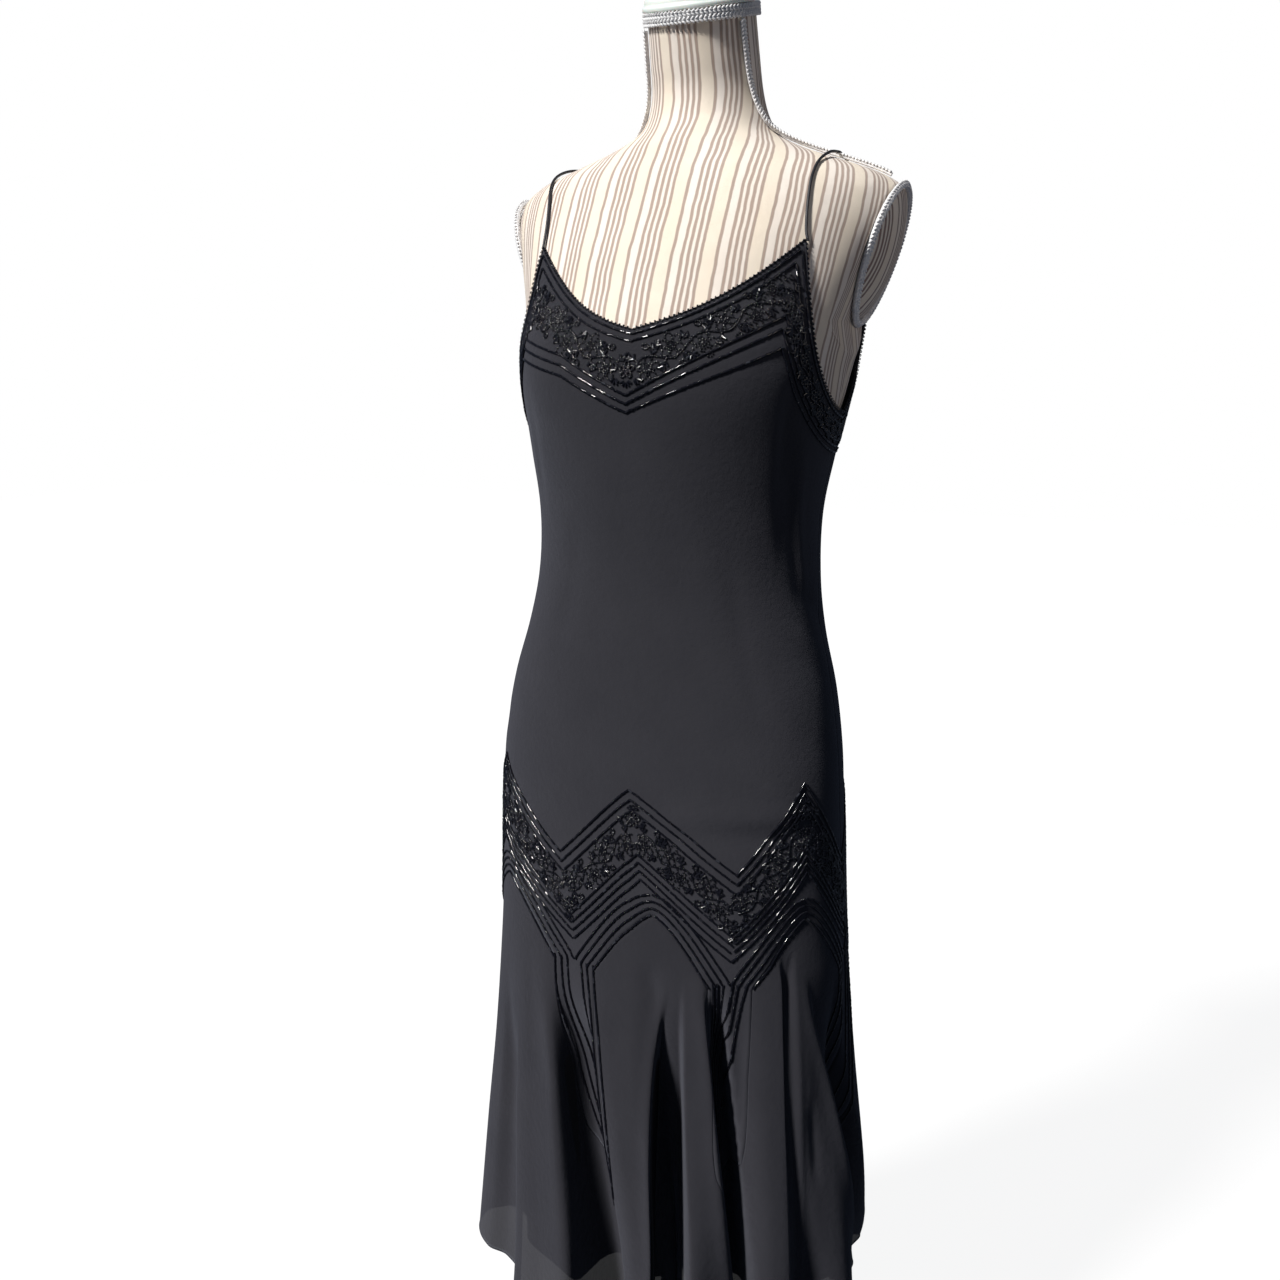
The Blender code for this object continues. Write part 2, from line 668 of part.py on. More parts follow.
def form_torso(finish):
    rings = [[form_point(angle, height) for angle in ring_angles()] for height in FORM_LEVELS]
    return loft_object("form_torso", rings, finish)


def neck_cap(finish):
    centre = (0.0, section_at(NECK_TOP)["side_line"], NECK_TOP + SEAM_GAP)
    return turned_object("form_neck_cap", CAP_PROFILE, finish, 32, centre, NECK_TILT)


def neck_braid(finish):
    """Two rows of braid round the top of the neck, on one strip."""
    rows = [[braid_point(angle, NECK_TOP - drop, out) for angle in ring_angles()]
            for drop, out in NECK_BRAID_PROFILE]
    return sheet_object("form_neck_braid", rows, finish, NECK_BRAID_WALL, closed=True)


def braid_point(angle, height, out):
    """On the form's surface, moved out, with the slope of the neck's cut."""
    point = body_point(angle, height, out)
    lean = ramp(NECK_TILT_FROM, NECK_TOP, height)
    point.z += lean * tan(NECK_TILT) * (point.y - section_at(NECK_TOP)["side_line"])
    return point


def form_normal(angle, height):
    """Away from the form's surface."""
    across = braid_point(angle + BRAID_TURN_STEP, height, 0.0) - braid_point(angle - BRAID_TURN_STEP, height, 0.0)
    upward = (braid_point(angle, height + SHOULDER_SLOPE_STEP, 0.0)
              - braid_point(angle, height - SHOULDER_SLOPE_STEP, 0.0))
    return across.cross(upward).normalized()


def shoulder_braid(name, mirror, finish):
    """From the neck braid down the side of the neck and along the shoulder to the arm plate."""
    points = [braid_point(angle, height, 0.0) + form_normal(angle, height) * SHOULDER_BRAID_LIFT
              for height, angle in SHOULDER_BRAID]
    mirrored = [Vector((mirror * point.x, point.y, point.z)) for point in points]
    return tube_object(name, mirrored, SHOULDER_BRAID_RADIUS, finish)


def plate_frame(mirror):
    """Centre, level axis, rising axis and outward normal of one arm plate."""
    middle = (PLATE_TOP + PLATE_BOTTOM) / 2
    centre = Vector((mirror * plate_x(middle), PLATE_CENTRE_Y, middle))
    rising = Vector((mirror * PLATE_LEAN, 0.0, 1.0)).normalized()
    outward = Vector((mirror, 0.0, -PLATE_LEAN)).normalized()
    return centre, Vector((0.0, 1.0, 0.0)), rising, outward


def plate_outline(mirror, grow, out, share=1.0):
    """An upright oval beside the plate's plane, broader at the top."""
    centre, level, rising, outward = plate_frame(mirror)
    half_height = (PLATE_TOP - PLATE_BOTTOM) / 2 * sqrt(1 + PLATE_LEAN ** 2) - PLATE_SHORTER
    points = []
    for step in range(PLATE_SIDES):
        turn = 2 * pi * step / PLATE_SIDES
        wide = (PLATE_HALF_DEPTH * share + grow) * cos(turn) * (1 + PLATE_BROADER_TOP * sin(turn))
        high = (half_height * share + grow) * sin(turn)
        points.append(centre + level * wide + rising * high + outward * out)
    return points


def arm_plate(name, mirror, finish):
    rings = [plate_outline(mirror, 0.0, SEAM_GAP + rise, share) for share, rise in PLATE_RISE]
    return loft_object(name, rings, finish)


def plate_braid(name, mirror, finish):
    grow = PLATE_BRAID_RADIUS + SEAM_GAP
    points = plate_outline(mirror, grow, grow)
    return tube_object(name, points, PLATE_BRAID_RADIUS, finish, closed=True)


def stand(finish):
    """A plain round base, a collar and a pole up to the form."""
    base = ((0.0, BASE_THICKNESS), (BASE_RADIUS - BASE_SLOPE, BASE_THICKNESS),
            (BASE_RADIUS - BASE_BEVEL, BASE_THICKNESS - BASE_BEVEL), (BASE_RADIUS, BASE_EDGE),
            (BASE_RADIUS, 0.0), (0.0, 0.0))
    turned_object("stand_base", base, finish, 40)
    low = BASE_THICKNESS + SEAM_GAP
    high = FORM_BOTTOM - SEAM_GAP
    pole = ((0.0, high), (FLANGE_RADIUS, high), (FLANGE_RADIUS, high - FLANGE_THICKNESS),
            (FLANGE_NECK_RADIUS, high - FLANGE_NECK_DROP), (POLE_RADIUS, high - FLANGE_HEIGHT),
            (POLE_RADIUS, low + COLLAR_HEIGHT), (COLLAR_NECK_RADIUS, low + COLLAR_HEIGHT - COLLAR_BEVEL),
            (COLLAR_RADIUS, low + COLLAR_EDGE), (COLLAR_RADIUS, low), (0.0, low))
    turned_object("stand_pole", pole, finish, 24)


def build():
    for leftover in list(bpy.data.objects):
        bpy.data.objects.remove(leftover, do_unlink=True)
    parts = bpy.data.collections.new(COLLECTION)
    bpy.context.scene.collection.children.link(parts)

    cloth = material("outer_cloth", (0.030, 0.031, 0.036), 0.85)
    lining = material("lining_cloth", (0.012, 0.012, 0.015), 0.7)
    cord = material("strap_cloth", (0.015, 0.015, 0.018), 0.6)
    fabric = material("form_fabric", (0.80, 0.73, 0.62), 0.9)
    shade = material("plate_fabric", (0.66, 0.58, 0.50), 0.9)
    braid = material("form_braid", (0.82, 0.82, 0.80), 0.5)
    cap = material("cap_plastic", (0.74, 0.78, 0.72), 0.4)
    metal = material("stand_metal", (0.06, 0.06, 0.065), 0.45)

    body_panel("body_front", FRONT_STRIPS, cloth)
    body_panel("body_back", BACK_STRIPS, cloth)
    godets = {"godet_front": 0.0, "godet_left_front": 60.0, "godet_left_back": 120.0,
              "godet_back": 180.0, "godet_right_back": 240.0, "godet_right_front": -60.0}
    for name, centre in godets.items():
        godet_panel(name, centre, cloth)
    lining_skirt(lining)

    form_torso(fabric)
    neck_cap(cap)
    neck_braid(braid)
    for side, mirror, crest_x, swing in STRAPS:
        strap("strap_" + side, mirror, crest_x, swing, cord)
        arm_plate("form_arm_plate_" + side, mirror, shade)
        plate_braid("form_arm_braid_" + side, mirror, braid)
        shoulder_braid("form_shoulder_braid_" + side, mirror, braid)
    stand(metal)


build()
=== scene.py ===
"""The looks of a beaded evening dress on its dress form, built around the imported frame.

Metres, +Z up.  The dress faces -Y and the wearer's left is +X.  An angle around the figure is 0 at
the centre front and grows towards +X.  A place on the cloth is a design angle and a height; the
hang of the skirt swings the design angle to a true one.  Surfaces are worked out on whole arrays
of places at once.
"""
from math import pi, radians, tan

import bpy
import numpy as np
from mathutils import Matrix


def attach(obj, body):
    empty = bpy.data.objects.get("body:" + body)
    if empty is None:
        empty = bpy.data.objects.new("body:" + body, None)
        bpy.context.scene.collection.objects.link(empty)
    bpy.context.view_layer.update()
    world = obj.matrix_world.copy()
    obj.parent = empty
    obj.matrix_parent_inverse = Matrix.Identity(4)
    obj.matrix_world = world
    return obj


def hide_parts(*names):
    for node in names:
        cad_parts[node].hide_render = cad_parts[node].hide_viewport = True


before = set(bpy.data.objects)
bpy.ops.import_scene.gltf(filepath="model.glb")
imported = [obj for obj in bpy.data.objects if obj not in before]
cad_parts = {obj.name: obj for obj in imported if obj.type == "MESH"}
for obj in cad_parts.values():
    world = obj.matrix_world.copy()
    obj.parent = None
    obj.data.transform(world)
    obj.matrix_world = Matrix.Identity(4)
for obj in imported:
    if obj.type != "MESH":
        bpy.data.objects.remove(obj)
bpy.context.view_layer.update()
BODY = "root"
RANDOM = np.random.default_rng(11)

# ---------------------------------------------------------------- the dress's own sizes
CLOTH_WALL = 0.0012
SHELL_WALL = 0.0006

FORM_BOTTOM = 0.797
NECK_TOP = 1.596
NECK_TILT = radians(15.0)
NECK_TILT_FROM = 1.490

NECKLINE_V = 1.280
FRONT_TIP = 1.362
BACK_V = 1.225
BACK_TIP = 1.330
UNDERARM = 1.200
FRONT_EDGE = (0.42, 2.9)
FRONT_ARMHOLE = (0.16, 2.3)
BACK_ARMHOLE = (0.45, 2.0)
BACK_EDGE = (0.55, 2.0)

ARCH_TOP = 0.700
ARCH_FOOT = 0.628
ARCH_POWER = 1.40
ARCH_GAP = 0.0005
STRIP_END = 0.392
OUTER_HEM = 0.232
HEM_WAVES = ((0.004, 3, 40.0), (0.003, 5, 90.0))
LINING_TOP = 0.745
LINING_SEAM = 0.600
LINING_HEM = 0.282
LINING_ROOM_TOP = 0.0010
LINING_ROOM_HEM = 0.0130
LINING_CALM = 0.22
LINING_WAVE = (0.004, 4, 30.0)

HIP_RADIUS = 0.175
STRIP_HALF_TOP = 0.0230
GODET_HALF = 30.0 - np.degrees(STRIP_HALF_TOP / HIP_RADIUS)
SEAM_GAP = 0.0003
SEAM_ANGLE = np.degrees(SEAM_GAP / HIP_RADIUS)
FRONT_TIP_ANGLE = 60.0 - 0.88 * GODET_HALF
BACK_TIP_ANGLE = 120.0 + 0.30 * GODET_HALF
FRONT_STRIPS = (-90.0, -30.0, 30.0, 90.0)
BACK_STRIPS = (90.0, 150.0, 210.0, 270.0)
ALL_STRIPS = FRONT_STRIPS + BACK_STRIPS[1:-1]
GODETS = {"godet_front": 0.0, "godet_left_front": 60.0, "godet_left_back": 120.0,
          "godet_back": 180.0, "godet_right_back": 240.0, "godet_right_front": -60.0}

STRIP_COLUMNS = ("height", "half_width")
STRIPS = ((0.392, 0.0016), (0.434, 0.0175), (0.540, 0.0215), (0.628, 0.0230), (0.700, 0.0230))

SECTION_COLUMNS = ("height", "half_width", "front", "back", "side_line", "front_square", "back_square")
SECTIONS = (
    (0.200, 0.224, -0.180, 0.186, -0.006, 2.0, 2.0),
    (0.380, 0.213, -0.160, 0.168, -0.008, 2.0, 2.0),
    (0.500, 0.204, -0.146, 0.154, -0.010, 2.0, 2.0),
    (0.620, 0.196, -0.133, 0.141, -0.014, 2.1, 2.1),
    (0.700, 0.191, -0.127, 0.135, -0.018, 2.2, 2.2),
    (0.800, 0.187, -0.122, 0.130, -0.021, 2.2, 2.2),
    (0.860, 0.183, -0.119, 0.124, -0.018, 2.2, 2.2),
    (0.920, 0.173, -0.114, 0.113, -0.010, 2.2, 2.2),
    (0.980, 0.157, -0.108, 0.102, 0.000, 2.2, 2.2),
    (1.035, 0.148, -0.105, 0.095, 0.010, 2.2, 2.2),
    (1.100, 0.147, -0.112, 0.099, 0.015, 2.2, 2.3),
    (1.160, 0.156, -0.122, 0.110, 0.024, 2.2, 2.4),
    (1.220, 0.167, -0.128, 0.126, 0.033, 2.1, 2.6),
    (1.260, 0.174, -0.123, 0.135, 0.045, 2.1, 2.7),
    (1.300, 0.184, -0.108, 0.144, 0.066, 2.1, 2.7),
    (1.350, 0.201, -0.084, 0.151, 0.084, 2.1, 2.7),
    (1.386, 0.212, -0.062, 0.155, 0.092, 2.1, 2.7),
    (1.408, 0.211, -0.048, 0.157, 0.094, 2.1, 2.6),
    (1.421, 0.202, -0.040, 0.157, 0.094, 2.1, 2.5),
    (1.434, 0.180, -0.031, 0.157, 0.093, 2.1, 2.4),
    (1.4465, 0.146, -0.021, 0.156, 0.092, 2.0, 2.2),
    (1.461, 0.103, -0.009, 0.152, 0.088, 2.0, 2.1),
    (1.475, 0.076, 0.005, 0.149, 0.087, 2.0, 2.0),
    (1.492, 0.064, 0.018, 0.145, 0.084, 2.0, 2.0),
    (1.515, 0.0575, 0.022, 0.138, 0.079, 2.0, 2.0),
    (1.545, 0.0555, 0.015, 0.128, 0.070, 2.0, 2.0),
    (1.603, 0.0536, 0.001, 0.109, 0.055, 2.0, 2.0),
)

SWING_COLUMNS = ("design_angle", "at_foot", "at_hem")
SWINGS = ((-90.0, 1.0, 5.0), (-30.0, 13.5, 31.0), (30.0, 2.8, 3.0), (90.0, 3.0, 2.0), (150.0, 1.0, 3.0),
          (210.0, 0.0, -2.0))
SWING_FROM = 1.000
TOP_SWING_COLUMNS = ("design_angle", "at_top")
TOP_SWINGS = ((-90.0, 1.0), (-40.0, 4.0), (0.0, 1.0), (40.0, 2.8), (90.0, 0.5), (180.0, 0.0))
TOP_SWING_FROM = 1.100
TOP_SWING_FULL = 1.300

FOLD_COLUMNS = ("design_angle", "at_hem")
FOLDS = (
    (-90.0, -0.022), (-74.0, 0.013), (-61.0, -0.006), (-48.0, 0.012), (-42.0, 0.018),
    (-34.0, -0.032), (-16.0, 0.014), (-9.0, 0.015), (1.0, -0.020), (11.0, 0.014),
    (18.0, 0.015), (34.0, -0.026), (43.0, 0.016), (49.0, 0.012), (58.0, -0.011), (74.0, 0.015),
    (90.0, -0.024), (104.0, 0.014), (111.0, 0.014), (119.0, -0.012), (128.0, 0.014),
    (136.0, 0.016), (150.0, -0.025), (164.0, 0.015), (172.0, 0.013), (181.0, -0.012),
    (190.0, 0.013), (196.0, 0.015), (210.0, -0.024), (224.0, 0.015), (231.0, 0.013),
    (240.0, -0.012), (249.0, 0.014), (256.0, 0.024),
)
FOLDS_FROM = 0.665
FOLDS_POWER = 1.15
FOLDS_SHARP = 0.80

EASE_COLUMNS = ("height", "ease")
EASES = ((0.70, 0.0016), (0.86, 0.0018), (0.95, 0.0026), (1.035, 0.0030), (1.12, 0.0026), (1.20, 0.0018),
         (1.28, 0.0015), (1.60, 0.0015))

BUST_ANGLE = 34.0
BUST_HEIGHT = 1.238
BUST_OUT = 0.009
BUST_SPREAD_ANGLE = 17.0
BUST_SPREAD_HEIGHT = 0.042

UNDER_CLOTH = 0.0030
UNDER_CLOTH_FROM = 1.245
UNDER_CLOTH_TO = 1.305

# ---------------------------------------------------------------- what only the looks have
# Pleats that deepen the folds.  Each has a steep wall and, beyond its sunk floor, a softer rim; both
# lines are given by their design angles at the arch foot and at the hem.  Then how deep the pleat is,
# and the heights where it starts and is full.
PLEAT_COLUMNS = ("at_foot", "at_hem", "rim_foot", "rim_hem", "depth", "from_height", "full_height")
PLEATS = (
    (-37.5, -39.0, -25.5, -27.5, 0.022, 0.605, 0.500), (7.0, -17.0, 13.0, 15.0, 0.032, 0.640, 0.450),
    (21.5, 35.5, 28.0, 42.0, 0.025, 0.655, 0.520), (48.5, 50.0, 54.5, 57.0, 0.004, 0.672, 0.630),
    (60.5, 92.0, 80.0, 112.0, 0.017, 0.645, 0.500), (118.0, 116.0, 127.0, 128.0, 0.018, 0.620, 0.480),
    (146.0, 148.0, 155.0, 158.0, 0.018, 0.630, 0.500), (188.0, 187.0, 178.0, 176.0, 0.018, 0.620, 0.490),
    (206.0, 205.0, 215.0, 217.0, 0.020, 0.630, 0.490), (247.0, 246.0, 237.0, 234.0, 0.016, 0.610, 0.480),
    (-93.0, -95.0, -84.0, -82.0, 0.016, 0.600, 0.470), (-55.0, -56.0, -63.0, -66.0, 0.006, 0.560, 0.420),
)
# A wall's half width and a pull's reach in degrees, the pull in degrees, the floor's slope and its end
# in shares of the rim's distance, which is never less than the narrowest.
WALL_HALF = 1.8
FLOOR_SLOPE = 0.45
FLOOR_ENDS, FLOOR_FULL = 1.15, 0.80
NARROWEST_PLEAT = 4.0
# The crest beside each wall: where it is, its half width, both in degrees, and its share of the depth.
CREST_AT, CREST_HALF, CREST_SHARE = -3.2, 2.2, 0.16
PULL_HALF = 3.2
PULL = 2.4
# Soft creases: where each starts and ends, how far it sinks in (or stands out, if negative), and
# its half width in metres.
CREASE_COLUMNS = ("from_angle", "from_height", "to_angle", "to_height", "depth", "half_width")
CREASES = (
    (10.0, 0.806, 64.0, 0.812, -0.0016, 0.010), (8.0, 0.786, 66.0, 0.790, 0.0026, 0.012),
    (-64.0, 0.792, -14.0, 0.784, 0.0012, 0.014), (53.0, 1.226, 58.0, 1.140, 0.0030, 0.0090),
    (57.5, 1.180, 62.0, 1.060, 0.0022, 0.0110), (56.0, 1.205, 60.0, 1.130, -0.0010, 0.0050),
    (61.0, 1.170, 70.0, 1.040, 0.0028, 0.009), (66.0, 1.160, 76.0, 1.020, -0.0016, 0.011),
    (-55.0, 1.190, -66.0, 1.060, 0.0024, 0.011), (-44.0, 1.210, -48.0, 1.110, 0.0014, 0.012),
    (12.0, 1.120, 22.0, 0.960, 0.0010, 0.020), (-20.0, 1.100, -34.0, 0.950, 0.0010, 0.018),
    (36.0, 1.060, 44.0, 0.900, 0.0012, 0.014), (70.0, 1.030, 96.0, 0.985, 0.0020, 0.010),
    (-74.0, 1.030, -98.0, 0.990, 0.0018, 0.010), (66.0, 0.990, 92.0, 0.950, -0.0014, 0.011),
    (108.0, 1.120, 128.0, 1.010, 0.0020, 0.012), (-112.0, 1.120, -128.0, 1.000, 0.0018, 0.012),
    (150.0, 1.060, 176.0, 1.030, 0.0024, 0.010), (-150.0, 1.050, -178.0, 1.022, 0.0020, 0.010),
    (140.0, 1.000, 168.0, 0.985, 0.0017, 0.010), (-96.0, 0.900, -70.0, 0.862, 0.0012, 0.016),
    (60.0, 0.900, 84.0, 0.862, 0.0012, 0.016), (110.0, 0.806, 176.0, 0.808, -0.0013, 0.010),
    (112.0, 0.785, 174.0, 0.788, 0.0020, 0.012), (-174.0, 0.788, -110.0, 0.785, 0.0018, 0.012),
    (-3.0, 0.640, 2.0, 0.600, 0.0022, 0.0120), (56.0, 0.600, 60.0, 0.280, -0.0080, 0.0200),
    (60.5, 0.490, 62.0, 0.410, 0.0022, 0.0060), (-62.0, 0.560, -60.0, 0.430, 0.0016, 0.0080),
    (-47.0, 0.600, -45.0, 0.470, 0.0014, 0.0100),
)
ARC = HIP_RADIUS * pi / 180.0


# ---------------------------------------------------------------- tables and curves
def column(rows, names, wanted):
    place = names.index(wanted)
    return np.array([line[place] for line in rows], float)


def smooth_between(places, values, at):
    """Cubic through the rows, with slopes from their neighbours."""
    at = np.clip(np.asarray(at, float), places[0], places[-1])
    index = np.arange(len(places))
    before, after = np.maximum(index - 1, 0), np.minimum(index + 1, len(places) - 1)
    slopes = (values[after] - values[before]) / (places[after] - places[before])
    low = np.clip(np.searchsorted(places, at, side="right") - 1, 0, len(places) - 2)
    step = places[low + 1] - places[low]
    u = (at - places[low]) / step
    return ((2 * u**3 - 3 * u**2 + 1) * values[low] + (u**3 - 2 * u**2 + u) * slopes[low] * step
            + (3 * u**2 - 2 * u**3) * values[low + 1] + (u**3 - u**2) * slopes[low + 1] * step)


def ring_between(angles, values, at, sharp=1.0):
    """Soft steps between rows that go once round; a power below 1 makes the low ones narrow."""
    at = (np.asarray(at, float) - angles[0]) % 360.0 + angles[0]
    angles, values = np.append(angles, angles[0] + 360.0), np.append(values, values[0])
    low = np.clip(np.searchsorted(angles, at, side="right") - 1, 0, len(angles) - 2)
    u = (at - angles[low]) / (angles[low + 1] - angles[low])
    u = np.where(values[low] < values[low + 1], u ** sharp, 1 - (1 - u) ** sharp)
    return values[low] + (values[low + 1] - values[low]) * (1 - np.cos(pi * u)) / 2


def ramp(start, end, at):
    u = np.clip((np.asarray(at, float) - start) / (end - start), 0.0, 1.0)
    return u * u * (3 - 2 * u)


def from_table(rows, names, wanted, at):
    return smooth_between(column(rows, names, names[0]), column(rows, names, wanted), at)


def all_round(steps):
    return np.linspace(-180.0, 180.0, steps + 1)[:-1]


def turned_from(design, place):
    """How many degrees a place on the ring lies from another, between -180 and 180."""
    return (design - place + 180.0) % 360.0 - 180.0


def skirt_line(at_foot, at_hem, height):
    """A straight line on the skirt, from the arches' feet down to the hem."""
    return at_foot + (at_hem - at_foot) * (ARCH_FOOT - height) / (ARCH_FOOT - OUTER_HEM)


# ---------------------------------------------------------------- the surface of the figure
def sections(height):
    return {name: from_table(SECTIONS, SECTION_COLUMNS, name, height) for name in SECTION_COLUMNS[1:]}


def on_section(now, angle):
    turn = np.radians(angle)
    s, c = np.sin(turn), np.cos(turn)
    square = np.where(c >= 0, now["front_square"], now["back_square"])
    reach = np.where(c >= 0, now["side_line"] - now["front"], now["back"] - now["side_line"])
    x = now["half_width"] * np.sign(s) * np.abs(s) ** (2 / square)
    y = now["side_line"] - reach * np.sign(c) * np.abs(c) ** (2 / square)
    return x, y


def bust(angle, height):
    across = (np.abs(turned_from(angle, 0.0)) - BUST_ANGLE) / BUST_SPREAD_ANGLE
    up = (height - BUST_HEIGHT) / BUST_SPREAD_HEIGHT
    return BUST_OUT * np.exp(-(across * across + up * up) / 2)


def body_point(angle, height, out=0.0):
    """Points of the figure at true angles and heights, moved out level with the floor."""
    angle, height, out = np.broadcast_arrays(np.asarray(angle, float), height, out)
    now = sections(height)
    x, y = on_section(now, angle)
    ahead, behind = on_section(now, angle + 2.0), on_section(now, angle - 2.0)
    along_x, along_y = ahead[0] - behind[0], ahead[1] - behind[1]
    size = np.hypot(along_x, along_y)
    out = out + bust(angle, height)
    return np.stack((x + along_y / size * out, y - along_x / size * out, height), axis=-1)


def true_angle(design, height):
    angles = column(SWINGS, SWING_COLUMNS, "design_angle")
    at_foot = ring_between(angles, column(SWINGS, SWING_COLUMNS, "at_foot"), design)
    at_hem = ring_between(angles, column(SWINGS, SWING_COLUMNS, "at_hem"), design)
    at_top = ring_between(column(TOP_SWINGS, TOP_SWING_COLUMNS, "design_angle"),
                          column(TOP_SWINGS, TOP_SWING_COLUMNS, "at_top"), design)
    upper = (at_foot * ramp(SWING_FROM, ARCH_FOOT, height)
             + at_top * ramp(TOP_SWING_FROM, TOP_SWING_FULL, height))
    lower = at_foot + (at_hem - at_foot) * ramp(ARCH_FOOT, OUTER_HEM, height)
    return design + np.where(height >= ARCH_FOOT, upper, lower) + pleats(design, height)[1]


def pleats(design, height):
    """How far the pleats sink the cloth, and how many degrees they pull it towards their walls."""
    sunk, shift = np.zeros((2, *np.broadcast(design, height).shape))
    for at_foot, at_hem, rim_foot, rim_hem, depth, from_height, full_height in PLEATS:
        hand = 1.0 if rim_hem > at_hem else -1.0
        wall, rim = skirt_line(at_foot, at_hem, height), skirt_line(rim_foot, rim_hem, height)
        away = turned_from(design, wall) * hand
        wide = np.maximum(np.abs(rim - wall), NARROWEST_PLEAT)
        growth = ramp(from_height, full_height, height)
        floor = (ramp(-WALL_HALF, WALL_HALF, away) * ramp(FLOOR_ENDS * wide, FLOOR_FULL * wide, away)
                 * (1 + FLOOR_SLOPE * away / wide))
        crest = CREST_SHARE * np.exp(-((away - CREST_AT) / CREST_HALF) ** 2)
        sunk = sunk - depth * growth * (floor - crest)
        near = away / PULL_HALF
        shift = shift - hand * PULL * growth * near * np.exp((1 - near * near) / 2)
    return sunk, shift


def fold(design, height):
    at_hem = ring_between(column(FOLDS, FOLD_COLUMNS, "design_angle"),
                          column(FOLDS, FOLD_COLUMNS, "at_hem"), design, FOLDS_SHARP)
    return at_hem * np.maximum((FOLDS_FROM - height) / (FOLDS_FROM - OUTER_HEM), 0.0) ** FOLDS_POWER


def creases(design, height):
    """How far the soft creases move the cloth, from the distance to each crease's line."""
    shift = np.zeros(np.broadcast(design, height).shape)
    for from_angle, from_height, to_angle, to_height, depth, half_width in CREASES:
        x = turned_from(design, from_angle) * ARC
        z = height - from_height
        run_x, run_z = (to_angle - from_angle) * ARC, to_height - from_height
        length = np.hypot(run_x, run_z)
        along = (x * run_x + z * run_z) / length
        across = (x * run_z - z * run_x) / length
        fade = (ramp(-0.25 * length, 0.3 * length, along)
                * ramp(1.25 * length, 0.7 * length, along))
        shift = shift - depth * np.exp(-((across / half_width) ** 2)) * fade
    return shift


def cloth_point(design, height, out=0.0):
    """Points of the outer face of the dress."""
    design, height, out = np.broadcast_arrays(np.asarray(design, float), height, out)
    stand_off = from_table(EASES, EASE_COLUMNS, "ease", height) + CLOTH_WALL + fold(design, height)
    shift = pleats(design, height)[0] + creases(design, height)
    return body_point(true_angle(design, height), height, stand_off + shift + out)


def measures(design, height):
    """Metres on the cloth: across for one degree, then aside and upward for one metre of height."""
    half, rise = 0.4, 0.002
    turned = (cloth_point(design + half, height) - cloth_point(design - half, height)) / (2 * half)
    risen = (cloth_point(design, height + rise) - cloth_point(design, height - rise)) / (2 * rise)
    across = np.linalg.norm(turned, axis=-1)
    aside = (turned * risen).sum(axis=-1) / across
    upward = np.sqrt(np.maximum((risen * risen).sum(axis=-1) - aside * aside, 1e-6))
    return across, aside, upward


def in_metres(design, height, turn, rise):
    """A small step on the cloth, given in degrees and height, as metres to the right and up."""
    across, aside, upward = measures(design, height)
    return turn * across + rise * aside, rise * upward


def moved(design, height, right, up):
    """A place on the cloth, moved so many metres to the right and up."""
    across, aside, upward = measures(design, height)
    rise = up / upward
    return design + (right - rise * aside) / across, height + rise


def lengths_along(design, height):
    """Distance on the cloth from a line's start to each of its points."""
    steps = np.linalg.norm(np.diff(cloth_point(design, height), axis=0), axis=1)
    return np.concatenate(([0.0], np.cumsum(steps)))


def offset_line(design, height, away):
    """A line beside a line on the cloth, to the left of the way it runs."""
    run_x, run_z = in_metres(design, height, np.gradient(design), np.gradient(height))
    size = np.hypot(run_x, run_z)
    return moved(design, height, -run_z / size * away, run_x / size * away)


# ---------------------------------------------------------------- the cut of the dress
def edge(low, high, u, curve):
    straight, power = curve
    return low + (high - low) * (straight * u + (1 - straight) * u ** power)


def neckline(design):
    """Height of the dress's top edge: necklines and armholes, front and back."""
    around = np.abs(turned_from(np.asarray(design, float), 0.0))
    front = np.sin(np.radians(around)) / np.sin(np.radians(FRONT_TIP_ANGLE))
    armhole = np.clip((90.0 - around) / (90.0 - FRONT_TIP_ANGLE), 0, 1)
    behind = np.clip((around - 90.0) / (BACK_TIP_ANGLE - 90.0), 0, 1)
    back = np.clip((180.0 - around) / (180.0 - BACK_TIP_ANGLE), 0, 1)
    return np.select(
        (around <= FRONT_TIP_ANGLE, around <= 90.0, around <= BACK_TIP_ANGLE),
        (edge(NECKLINE_V, FRONT_TIP, front, FRONT_EDGE), edge(UNDERARM, FRONT_TIP, armhole, FRONT_ARMHOLE),
         edge(UNDERARM, BACK_TIP, behind, BACK_ARMHOLE)),
        edge(BACK_V, BACK_TIP, back, BACK_EDGE))


def strip_half(height):
    return from_table(STRIPS, STRIP_COLUMNS, "half_width", height)


def arch(across):
    return ARCH_FOOT + (ARCH_TOP - ARCH_FOOT) * (1 - np.abs(across) ** ARCH_POWER)


def body_bottom(design):
    from_centre = (design + 30.0) % 60.0 - 30.0
    over_arch = arch(np.clip(from_centre / GODET_HALF, -1, 1)) + ARCH_GAP
    return np.where(np.abs(from_centre) >= GODET_HALF, ARCH_FOOT, over_arch)


def wave_of(design, wave):
    """A wave round the figure: its height, how many go round and where it starts."""
    high, waves, start = wave
    return high * np.sin(np.radians(waves * design + start))


def hem_height(design):
    return OUTER_HEM + sum(wave_of(design, wave) for wave in HEM_WAVES)


# ---------------------------------------------------------------- making meshes
def grid_faces(rows, wide, closed=False):
    place = np.arange(rows * wide).reshape(rows, wide)
    if closed:
        place = np.concatenate((place, place[:, :1]), axis=1)
    return quads(place)


